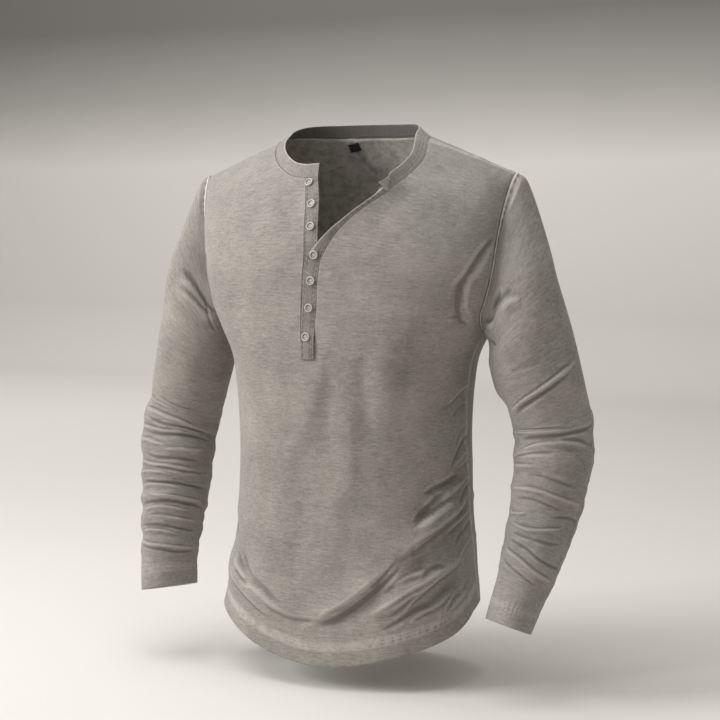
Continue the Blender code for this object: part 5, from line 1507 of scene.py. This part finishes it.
def strip_roll(table, up, across):
    """(across, drop): the opened part of the over placket rolls back along its free edge, as an arc of a cylinder
    whose radius is ROLL_RADIUS, starting ROLL_FROM of the way across."""
    if table is not OVER_PLACKET:
        return across, 0 * across
    open_share = eased((up - 0.50) / 0.14) * (1 - 0.7 * eased((up - 0.92) / 0.08))
    start = ROLL_FROM + ROLL_GROWS * eased((up - 0.58) / 0.22)
    run = np.maximum(start - across, 0) * STRIP_WIDTH
    turn = run / ROLL_RADIUS
    rolled = across + (run - ROLL_RADIUS * np.sin(turn)) / STRIP_WIDTH
    return across + (rolled - across) * open_share, ROLL_RADIUS * (1 - np.cos(turn)) * open_share


def strip_place(table, up, across):
    """(form, normal, stand, roll): the body under a strip's place, how far the strip stands off it, and how far its
    roll drops it from there."""
    curled, roll = strip_roll(table, up, across)
    around, rise, lift = strip_chart(table, up, curled)
    stand = lift + fold_height(BODY_FOLDS, BODY_RADIUS, around, rise)
    return torso_point(around, rise), torso_normal(around, rise), stand, roll


def strip_face(table, up, across):
    """The outer face of a placket strip, without its stitching."""
    form, normal, stand, roll = strip_place(table, up, across)
    return form + normal * (stand - roll)[..., None]


def strip_piece(table, seed):
    """A placket strip: the rounded section carried up its table over the body's folds, with stitched edges."""
    across, depth = strip_section(STRIP_FACE, TRIM_WALL, STRIP_WIDTH)
    across, up = np.meshgrid(across, np.linspace(0, 1, STRIP_ROWS), indexing="ij")
    form, normal, stand, roll = strip_place(table, up, across)
    length = STRIP_LENGTH * up
    edge = np.minimum(across, 1 - across) * STRIP_WIDTH
    face = np.clip(1 - depth / TRIM_WALL * 2, 0, 1)[:, None]
    groove = bell(edge - STRIP_STITCH, 0.0007)
    groove = groove + np.where(across > 0.5, 0.8 * bell(edge - 0.0058, 0.0007), 0)
    pucker = np.sin(2 * math.pi * length / 0.0075 + 2.5 * waves(length / 0.02, across * 3, seed))
    detail = -0.00040 * groove + 0.00022 * pucker * bell(edge - STRIP_STITCH, 0.003)
    detail = (detail + 0.00030 * waves(across * 2.5, length / 0.016, seed + 1)) * face
    points = form + normal * (stand + detail - depth[:, None] - roll)[..., None]
    values = {
        "grain": np.stack([length, 0 * up + seed, across * STRIP_WIDTH + 1.0], axis=-1).reshape(-1, 3),
        "seam": (edge + 0.0016).reshape(-1),
        # Painted highlight: a pale line along the roll where it turns over.
        "bloom": (0.9 * bell(roll / ROLL_RADIUS - 0.55, 0.30) * eased(roll / 0.001) * face).reshape(-1),
        # Painted highlight and shade from the strip's relief: paler on the puckers, darker in the stitched grooves.
        "crest": np.clip(detail / 0.0005, -1, 1).reshape(-1),
    }
    return points.reshape(-1, 3), section_faces(up.shape, STRIP_FACE), values


def band_rows():
    """The neckband's path in the solids' own steps: base, normal, the way it rises and its seam leaves the neck."""
    across = np.linspace(1, 0, 4)
    stand = np.column_stack(strip_chart(UNDER_PLACKET, 1 + 0 * across, across))
    down = np.linspace(0, 1, 10)
    around, rise = neck_front(-1, down[::-1])
    right = np.column_stack([around, rise, 0 * rise])[1:-1]
    around, rise = neck_back(np.linspace(-math.pi / 2, math.pi / 2, 15))
    back = np.column_stack([math.pi - around, 2 * SHOULDER_ARC - rise, 0 * rise])
    around, rise = neck_front(1, down)
    left = np.column_stack([around, rise, flap_lift(around, rise)])[1:-1]
    flap = np.column_stack(strip_chart(OVER_PLACKET, 1 + 0 * across, across))
    path = np.vstack([stand, right, back, left, flap])
    normal = torso_normal(path[:, 0], path[:, 1])
    base = torso_point(path[:, 0], path[:, 1]) + normal * path[:, 2:]
    along = unit(np.gradient(base, axis=0))
    lean = smooth_rows(BAND_LEAN, np.linspace(0, 1, len(base)))
    leave = unit(np.cross(along, normal))
    rise = unit(leave * lean + np.array([0.0, 0.0, 1.0]) * (1 - lean))
    ends = np.clip((np.arange(len(base)) - len(base) + 5) / 4, 0, 1)[:, None]
    rise = unit(rise * (1 - ends) + np.array(BAND_END) * ends)
    leave = unit(leave * (1 - ends) + np.array(BAND_END) * ends)
    return np.column_stack([base, normal, rise, leave])


def band_piece():
    """The neckband: the rounded section standing along its path. Its ribs are a cosine of the length, full on the
    wearer's right, and on their left it has lengthwise lines, each a bell across its height."""
    share = np.linspace(0, 1, BAND_COLUMNS)
    rows = along_points(band_rows(), share, 3)
    base, normal, rise, leave = (rows[:, at : at + 3] for at in (0, 3, 6, 9))
    normal, rise, leave = unit(normal), unit(rise), unit(leave)
    along = unit(np.gradient(base, axis=0))
    length = np.concatenate([[0], np.cumsum(np.linalg.norm(np.diff(base, axis=0), axis=1))])
    high, depth = strip_section(BAND_FACE, TRIM_WALL, BAND_HEIGHT)
    outward = unit(np.cross(rise, along))
    high, depth, share = high[:, None, None], depth[:, None, None], share[None, :, None]
    facing = unit(normal * (1 - high) + outward * high)
    rib = np.cos(2 * math.pi * length / RIB_PITCH)[None, :, None]
    ribbing = 0.08 + 0.62 * (1 - eased((share - RIBBED_TO) / 0.07))
    tall = high * BAND_HEIGHT
    low, middle, upper = (bell(tall - at, 0.0008) for at in BAND_LINES)
    lines = (low + middle + eased((share - BAND_END_FROM) / 0.02) * upper) * eased((share - LINED_FROM) / 0.08)
    stitched = bell(tall - BAND_STITCH, 0.0008)
    soft = waves(length / 0.03, 0 * length, 31)[None, :, None]
    side = np.clip(1 - 2 * depth / TRIM_WALL, -1, 1)
    detail = (0.00024 * ribbing * rib * (1 - stitched) - 0.0003 * stitched - 0.0004 * lines) * side
    detail = detail + 0.0004 * soft * high
    tuck = 1 - BAND_TUCK * eased((share - BAND_END_FROM) / 0.06)
    points = base + leave * SEAM_GAP + rise * BAND_HEIGHT * high * tuck + facing * (detail - depth)
    shape = points.shape[:2]
    length, tall = np.broadcast_to(length, shape), np.broadcast_to(tall[..., 0], shape)
    side, share = side[..., 0], share[..., 0]
    # Painted shade: the band's inner face is painted dark, up to near its end.
    inside = 0.75 * np.clip(-side, 0, 1) * eased((0.93 - share) / 0.02)
    top = bloom_band(BAND_HEIGHT - tall, *BAND_TOP_BLOOM) * np.clip(side, 0, 1)
    values = {
        "grain": np.stack([tall, 0 * tall + 5.0, length], axis=-1).reshape(-1, 3),
        "seam": (np.minimum(tall, BAND_HEIGHT - tall) + 0.0012).reshape(-1),
        "bloom": np.maximum(top, 0.35 * eased((share - 0.955) / 0.015)).reshape(-1),
        "painted_shade": np.broadcast_to(inside, shape).reshape(-1),
        # Painted highlight on the rib crests, and painted shade between the ribs and in the lengthwise lines.
        "crest": np.broadcast_to((ribbing * rib - lines)[..., 0] * 0.6, shape).reshape(-1),
    }
    return points.reshape(-1, 3), section_faces(shape, BAND_FACE), values


def label_piece():
    """The tag: a rounded section of tape lying just inside the back panel's inner face."""
    across, depth = strip_section(TAG_FACE, TAG_WALL, TAG_WIDTH)
    across, up = np.meshgrid(across, np.linspace(0, 1, TAG_FACE), indexing="ij")
    around = TAG_AROUND + (across - 0.5) * TAG_WIDTH / TORSO[-1, 1]
    rise = TAG_RISE - TAG_LENGTH * (1 - up)
    sag = -0.0006 * np.sin(math.pi * across) * (1 - up)
    stand = -WALL - TAG_DEPTH - depth[:, None] + sag
    points = torso_point(around, rise) + torso_normal(around, rise) * stand[..., None]
    return points.reshape(-1, 3), section_faces(up.shape, TAG_FACE)


def button_seat(number):
    """(centre, sideways, along, out): where a button lies on its strip, and which way it faces."""
    table = UNDER_PLACKET if number < BUTTONS_ON_STAND else OVER_PLACKET
    up, across = np.meshgrid(np.linspace(0, 1, 400), np.linspace(0, 1, 90), indexing="ij")
    on_strip = strip_face(table, up, across)
    nearest = np.hypot(on_strip[..., 0] - BUTTONS[number, 0], on_strip[..., 2] - BUTTONS[number, 1]).argmin()
    centre, up, across = on_strip.reshape(-1, 3)[nearest], up.flat[nearest], across.flat[nearest]
    step = np.array([-0.02, 0.02])
    along = unit(np.diff(strip_face(table, up + step, across), axis=0)[0])
    sideways = np.diff(strip_face(table, up + 0 * step, across + step), axis=0)[0]
    sideways = unit(sideways - (sideways @ along) * along)
    return centre, sideways, along, np.cross(sideways, along)


def button_piece(number, settings):
    """A turned four-hole button: a profile spun about its axis, with the holes let into its dished middle."""
    radius = settings.button_diameter / 2
    places = along_points(BUTTON_PROFILE * (radius, 1.0), np.linspace(0, 1, BUTTON_RINGS))
    turn = np.arange(BUTTON_TURNS) * 2 * math.pi / BUTTON_TURNS
    reach, height = places[1:-1, 0][:, None], places[1:-1, 1][:, None]
    x, y = reach * np.cos(turn), reach * np.sin(turn)
    pits = np.zeros_like(x)
    for hole_x, hole_y in ((1, 1), (1, -1), (-1, 1), (-1, -1)):
        away = np.hypot(x - hole_x * HOLE_OFF, y - hole_y * HOLE_OFF)
        pits += np.exp(-((away / HOLE_RADIUS) ** 4))
    top = height > 0.0010
    lowered = height - np.where(top, pits * 0.0008, 0)
    centre, sideways, along, out = button_seat(number)
    spread = x[..., None] * sideways + y[..., None] * along + (lowered + BUTTON_LIFT)[..., None] * out
    ends = [out * BUTTON_LIFT, out * (BUTTON_PROFILE[-1, 1] + BUTTON_LIFT)]
    points = centre + np.vstack([spread.reshape(-1, 3), ends])
    ids = np.arange(x.size).reshape(x.shape)
    quads = grid_quads(ids.T, around=True)
    after = np.roll(ids, -1, axis=1)
    under, over = 0 * ids[0] + x.size, 0 * ids[0] + x.size + 1
    fans = np.vstack([
        np.stack([after[0], ids[0], under], axis=-1),
        np.stack([ids[-1], after[-1], over], axis=-1),
    ])
    # The dish is painted dark in a ring and at the holes: painted shade.
    ring = bell(reach / radius - 0.60, 0.15)
    dish = np.where(top, np.clip(pits, 0, 1) + ring, 0)
    values = {"dish": np.concatenate([np.clip(dish, 0, 1).reshape(-1), [0, 0]])}
    return points, [quads, fans], values


def stitch_run(points, normals, length, space, radius):
    """(points, quads) of a row of stitches along a path: each a short bar of five sides whose ends dip into the
    cloth, laid every length plus space."""
    steps = np.concatenate([[0], np.cumsum(np.linalg.norm(np.diff(points, axis=0), axis=1))])
    starts = np.arange(0, steps[-1] - length, length + space)
    share, height, thickness = STITCH_SHAPE.T
    along = starts[:, None] + length * (0.5 + share)
    table = np.column_stack([steps, points, normals])
    at = np.stack([np.interp(along, steps, table[:, column]) for column in range(1, 7)], axis=-1)
    centre, normal = at[..., :3], unit(at[..., 3:])
    tangent = unit(centre[:, -1:] - centre[:, :1])
    aside = unit(np.cross(tangent, normal))
    turn = np.arange(5) * 2 * math.pi / 5 + math.pi / 10
    wide = (radius * thickness)[:, None, None]
    ring = aside[:, :, None] * np.cos(turn)[:, None] * wide + normal[:, :, None] * np.sin(turn)[:, None] * wide
    lifted = centre + normal * (radius * height)[:, None]
    made = lifted[:, :, None] + ring
    ids = np.arange(made[..., 0].size).reshape(made.shape[:3])
    after = np.roll(ids, -1, axis=2)
    quads = np.stack([ids[:, 1:], after[:, 1:], after[:, :-1], ids[:, :-1]], axis=-1).reshape(-1, 4)
    caps = np.vstack([ids[:, 0], ids[:, -1, ::-1]])
    return made.reshape(-1, 3), quads, caps


def stitch_rows(name, paths, settings):
    """All of a group's rows of stitches as one piece."""
    points, quads, caps, count = [], [], [], 0
    for path, normals in paths:
        run = stitch_run(path, normals, settings.stitch_length, settings.stitch_space, settings.thread_thickness / 2)
        points.append(run[0])
        quads.append(run[1] + count)
        caps.append(run[2] + count)
        count += len(run[0])
    groups = [np.vstack(quads), np.vstack(caps)]
    piece = put_mesh(name, np.vstack(points), groups, finish_of("sewing thread"))
    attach(piece, "root")


def body_path(around, rise):
    """(points, normals) of a path on the shirt's body cloth."""
    normal = torso_normal(around, rise)
    stand = flap_lift(around, rise) + body_height(around, rise)
    return torso_point(around, rise) + normal * stand[..., None], normal


def hem_paths():
    """The hem's twin rows: its curve moved up the cloth by the turned depth."""
    around = np.radians(np.linspace(HEM[0, 0], HEM[-1, 0], 1500))
    return [body_path(around, hem_rise(around) + depth) for depth in (HEM_DEPTH, HEM_DEPTH - TWIN_ROWS)]


def cuff_paths():
    """The cuffs' twin rows: rings round each sleeve at the turned depth from its end."""
    paths = []
    turn = np.linspace(0, 2 * math.pi, 400)
    for side, _, folds, creases, seed in SLEEVES:
        for depth in (CUFF_DEPTH, CUFF_DEPTH - TWIN_ROWS):
            down = 0 * turn + SLEEVE_LENGTH - depth
            height = sleeve_height(folds, creases, seed, turn, down)
            normal = sleeve_normal(turn, down)
            form = sleeve_point(turn, down)
            path = form + cuff_cut(form, side, down) + normal * height[..., None]
            paths.append((path * (side, 1, 1), normal * (side, 1, 1)))
    return paths


def moved_in(around, rise, distance):
    """Chart places moved square to their own path, down and out onto the cloth, by a distance."""
    x, y = around * BODY_RADIUS, rise
    along = unit(np.stack([np.gradient(x), np.gradient(y)], axis=-1))
    return (x + along[..., 1] * distance) / BODY_RADIUS, y - along[..., 0] * distance


def neck_paths():
    """Two rows round the body under the neckband: the neck seam moved out onto the cloth."""
    down = np.linspace(0.0, 1.0, 400)
    around, rise = neck_back(np.linspace(-math.pi / 2, math.pi / 2, 500))
    seams = (neck_front(-1, down[::-1]), (math.pi - around, 2 * SHOULDER_ARC - rise), neck_front(1, down))
    return [body_path(*moved_in(*seam, distance)) for distance in NECK_ROWS for seam in seams]


def placket_paths():
    """Rows along both strips at shares of their width, and the two that cross the over placket's foot."""
    lengthwise, crosswise = np.linspace(0.015, 0.985, 500), np.linspace(0.13, 0.87, 60)
    rows = [(OVER_PLACKET, lengthwise, 0 * lengthwise + share, 0.0003) for share in (0.13, 0.87, 0.71)]
    rows.append((UNDER_PLACKET, lengthwise, 0 * lengthwise + 0.13, 0.0003))
    rows += [(OVER_PLACKET, 0 * crosswise + share, crosswise, 0.0001) for share in (0.012, 0.050)]
    paths = []
    for table, up, across, sunk in rows:
        normal = torso_normal(*strip_chart(table, up, across)[:2])
        paths.append((strip_face(table, up, across) - normal * sunk, normal))
    return paths


# ---- Settings


def colour_setting(name, description, code):
    """A colour that can be set, with an sRGB hex code as its default."""
    return bpy.props.FloatVectorProperty(
        name=name, description=description, subtype="COLOR", size=3, min=0.0, max=1.0, default=linear(code)[:3]
    )


class HenleyCloth(bpy.types.PropertyGroup):
    jersey_colour: colour_setting("Jersey", "Colour of the washed jersey between its streaks", "#8f8b84")
    rib_colour: colour_setting("Rib", "Colour of the ribbed neckband", "#8f8b84")
    # This colour is worn bloom along seams and edges, and also painted highlight on fold crests and the rolled placket
    # edge, and painted light on the inner face.
    bloom_and_highlight_colour: colour_setting(
        "Worn bloom", "Colour of the cloth where washing has worn it along seams and creases", "#cbc6be"
    )
    streaks: bpy.props.FloatProperty(
        name="Streaks", description="How strongly the slub streaks show", min=0.0, max=2.0, default=0.85
    )


class HenleyTrim(bpy.types.PropertyGroup):
    button_diameter: bpy.props.FloatProperty(
        name="Button", description="Diameter of a button", unit="LENGTH", min=0.008, max=0.014, default=0.0114
    )
    button_colour: colour_setting("Button colour", "Colour of the shell buttons", "#d2cdc5")
    thread_colour: colour_setting("Thread", "Colour of the sewing thread", "#8b867f")
    stitch_length: bpy.props.FloatProperty(
        name="Stitch", description="Length of a stitch", unit="LENGTH", min=0.001, max=0.006, default=0.0026
    )
    stitch_space: bpy.props.FloatProperty(
        name="Stitch space", description="Gap between stitches", unit="LENGTH", min=0.0, max=0.003, default=0.0008
    )
    thread_thickness: bpy.props.FloatProperty(
        name="Thread thickness",
        description="Thickness of the sewing thread",
        unit="LENGTH",
        min=0.0001,
        max=0.001,
        default=0.00045,
    )


class HenleyStudio(bpy.types.PropertyGroup):
    floor_colour: colour_setting("Floor", "Colour of the paper sweep", "#d3d0cb")
    floor_height: bpy.props.FloatProperty(
        name="Floor height", description="Height of the floor under the shirt", unit="LENGTH", default=-0.745
    )
    top_light: bpy.props.FloatProperty(
        name="Top light", description="Power of the panel overhead", unit="POWER", min=0.0, default=40.0
    )
    front_light: bpy.props.FloatProperty(
        name="Front light", description="Power of the panel in front", unit="POWER", min=0.0, default=112.0
    )
    paper_light: bpy.props.FloatProperty(
        name="Paper light", description="Power of the panel that lights the paper", unit="POWER", min=0.0, default=35.0
    )
    room_light: bpy.props.FloatProperty(
        name="Room light", description="Strength of the even light from the room", min=0.0, default=0.53
    )


# ---- Operators


class HENLEY_OT_front(bpy.types.Operator):
    """Makes the front panel's cloth."""

    bl_idname = "henley.front"
    bl_label = "Front panel"

    def execute(self, context):
        points, quads, fives, values = joined([front_piece(1), front_piece(-1)])
        piece = put_mesh("front_cloth", points, [quads, fives], finish_of("washed slub jersey"), values)
        settle(piece, "front_panel", "washed_jersey", flat=(0.56, 0.76), held="draped", area=0.34)
        return {"FINISHED"}


class HENLEY_OT_back(bpy.types.Operator):
    """Makes the back panel's cloth."""

    bl_idname = "henley.back"
    bl_label = "Back panel"

    def execute(self, context):
        points, quads, fives, values = back_piece()
        piece = put_mesh("back_cloth", points, [quads, fives], finish_of("washed slub jersey"), values)
        settle(piece, "back_panel", "washed_jersey", flat=(0.54, 0.75), held="draped", area=0.33)
        return {"FINISHED"}


class HENLEY_OT_sleeves(bpy.types.Operator):
    """Makes the cloth of both sleeves."""

    bl_idname = "henley.sleeves"
    bl_label = "Sleeves"

    def execute(self, context):
        for side, node, folds, creases, seed in SLEEVES:
            points, quads, fives, values = sleeve_piece(side, folds, creases, seed)
            piece = put_mesh(f"{node}_cloth", points, [quads, fives], finish_of("washed slub jersey"), values)
            settle(piece, node, "washed_jersey", flat=(0.40, 0.55), held="draped", area=0.17)
        return {"FINISHED"}


class HENLEY_OT_placket(bpy.types.Operator):
    """Makes the two placket strips."""

    bl_idname = "henley.placket"
    bl_label = "Placket"

    def execute(self, context):
        for node, table, seed in (("placket_over", OVER_PLACKET, 21), ("placket_under", UNDER_PLACKET, 24)):
            points, groups, values = strip_piece(table, seed)
            piece = put_mesh(f"{node}_strip", points, groups, finish_of("washed placket jersey"), values)
            settle(piece, node, "washed_jersey", flat=(0.020, 0.26), held="draped")
        return {"FINISHED"}


class HENLEY_OT_neckband(bpy.types.Operator):
    """Makes the ribbed neckband."""

    bl_idname = "henley.neckband"
    bl_label = "Neckband"

    def execute(self, context):
        points, groups, values = band_piece()
        piece = put_mesh("neckband_rib", points, groups, finish_of("ribbed jersey"), values)
        settle(piece, "neckband", "rib_jersey", flat=(0.62, 0.019), held="draped")
        return {"FINISHED"}


class HENLEY_OT_label(bpy.types.Operator):
    """Makes the plain tag inside the back neck."""

    bl_idname = "henley.label"
    bl_label = "Tag"

    def execute(self, context):
        points, groups = label_piece()
        piece = put_mesh("neck_tag", points, groups, finish_of("woven label tape"))
        settle(piece, "neck_label", "tag_tape", flat=(0.017, 0.0145), held="draped")
        return {"FINISHED"}


class HENLEY_OT_buttons(bpy.types.Operator):
    """Makes the seven buttons."""

    bl_idname = "henley.buttons"
    bl_label = "Buttons"

    def execute(self, context):
        for number in range(len(BUTTONS)):
            points, groups, values = button_piece(number, context.scene.henley_trim)
            piece = put_mesh(f"shell_button_{number + 1}", points, groups, finish_of("trocas shell"), values)
            settle(piece, f"button_{number + 1}", "button_shell")
        return {"FINISHED"}


class HENLEY_OT_stitching(bpy.types.Operator):
    """Sews the hem, cuffs, neck and placket."""

    bl_idname = "henley.stitching"
    bl_label = "Stitching"

    def execute(self, context):
        trim = context.scene.henley_trim
        for name, paths in (
            ("hem_stitches", hem_paths()),
            ("cuff_stitches", cuff_paths()),
            ("neck_stitches", neck_paths()),
            ("placket_stitches", placket_paths()),
        ):
            stitch_rows(name, paths, trim)
        return {"FINISHED"}


class HENLEY_OT_studio(bpy.types.Operator):
    """Puts up the paper sweep, the lights and the camera."""

    bl_idname = "henley.studio"
    bl_label = "Studio"

    def execute(self, context):
        studio = context.scene.henley_studio
        sweep(studio)
        panel("top_panel", (-0.6, -0.4, 1.9), SHIRT_MIDDLE, 2.2, studio.top_light)
        panel("side_panel", (-2.9, -2.3, 1.3), SHIRT_MIDDLE, 1.8, studio.front_light)
        panel("paper_panel", (-2.6, 2.0, 1.9), (-3.0, 5.0, 0.1), 2.4, studio.paper_light)
        world = bpy.data.worlds.new("room")
        world.use_nodes = True
        ground = world.node_tree.nodes["Background"]
        ground.inputs["Color"].default_value = linear("#e9e6e1")
        ground.inputs["Strength"].default_value = studio.room_light
        context.scene.world = world
        context.scene.view_settings.view_transform = "Standard"
        camera()
        return {"FINISHED"}


def sweep(studio):
    """Floor and backdrop in one: a profile that runs back, curves up in a quarter circle and rises, carried across."""
    bend, back, top = 1.6, 3.4, 4.0
    turn = np.linspace(0, math.pi / 2, 40)
    y = np.concatenate([[-6.0, -2.0], back + bend * np.sin(turn), [back + bend]])
    z = np.concatenate([[0.0, 0.0], bend - bend * np.cos(turn), [top]]) + studio.floor_height
    x = np.linspace(-7, 7, 12)
    points = np.stack(np.broadcast_arrays(x[:, None], y[None, :], z[None, :]), axis=-1)
    ids = np.arange(points[..., 0].size).reshape(points.shape[:2])
    paper = put_mesh("paper_sweep", points.reshape(-1, 3), [grid_quads(ids)], finish_of("seamless paper"))


def panel(name, place, target, size, power):
    """A square soft light at a place, facing a target."""
    light = bpy.data.lights.new(name, "AREA")
    light.shape = "SQUARE"
    light.size = size
    light.energy = power
    lamp = bpy.data.objects.new(name, light)
    lamp.location = place
    away = [at - to for at, to in zip(place, target, strict=True)]
    lamp.rotation_euler = (math.atan2(math.hypot(away[0], away[1]), away[2]), 0, math.atan2(away[0], -away[1]))
    bpy.context.scene.collection.objects.link(lamp)


def camera():
    """The camera, 28 degrees to the wearer's right of straight ahead and 5 degrees up."""
    turn, high = CAMERA_TURN, CAMERA_RISE
    away = np.array([math.sin(turn) * math.cos(high), -math.cos(turn) * math.cos(high), math.sin(high)])
    lens = bpy.data.cameras.new("camera")
    lens.sensor_width = 36.0
    lens.lens = FOCAL_LENGTH
    eye = bpy.data.objects.new("camera", lens)
    eye.location = CAMERA_TARGET + away * CAMERA_DISTANCE
    eye.rotation_euler = (math.pi / 2 - high, 0, turn)
    bpy.context.scene.collection.objects.link(eye)
    bpy.context.scene.camera = eye


class HENLEY_PT_panel(bpy.types.Panel):
    bl_label = "Henley shirt"
    bl_space_type = "VIEW_3D"
    bl_region_type = "UI"
    bl_category = "Henley"

    def draw(self, context):
        for group in GROUPS:
            settings = getattr(context.scene, group)
            box = self.layout.box()
            for name in settings.__annotations__:
                box.prop(settings, name)
        for step in STEPS:
            self.layout.operator(step.bl_idname)


GROUPS = {"henley_cloth": HenleyCloth, "henley_trim": HenleyTrim, "henley_studio": HenleyStudio}
STEPS = (
    HENLEY_OT_front,
    HENLEY_OT_back,
    HENLEY_OT_sleeves,
    HENLEY_OT_placket,
    HENLEY_OT_neckband,
    HENLEY_OT_label,
    HENLEY_OT_buttons,
    HENLEY_OT_stitching,
    HENLEY_OT_studio,
)
CLASSES = (*GROUPS.values(), *STEPS, HENLEY_PT_panel)


def register():
    for made in CLASSES:
        bpy.utils.register_class(made)
    for name, group in GROUPS.items():
        setattr(bpy.types.Scene, name, bpy.props.PointerProperty(type=group))


def unregister():
    for name in GROUPS:
        delattr(bpy.types.Scene, name)
    for made in reversed(CLASSES):
        bpy.utils.unregister_class(made)


def main():
    register()
    for step in STEPS:
        family, name = step.bl_idname.split(".")
        getattr(getattr(bpy.ops, family), name)()


if __name__ == "__main__":
    main()
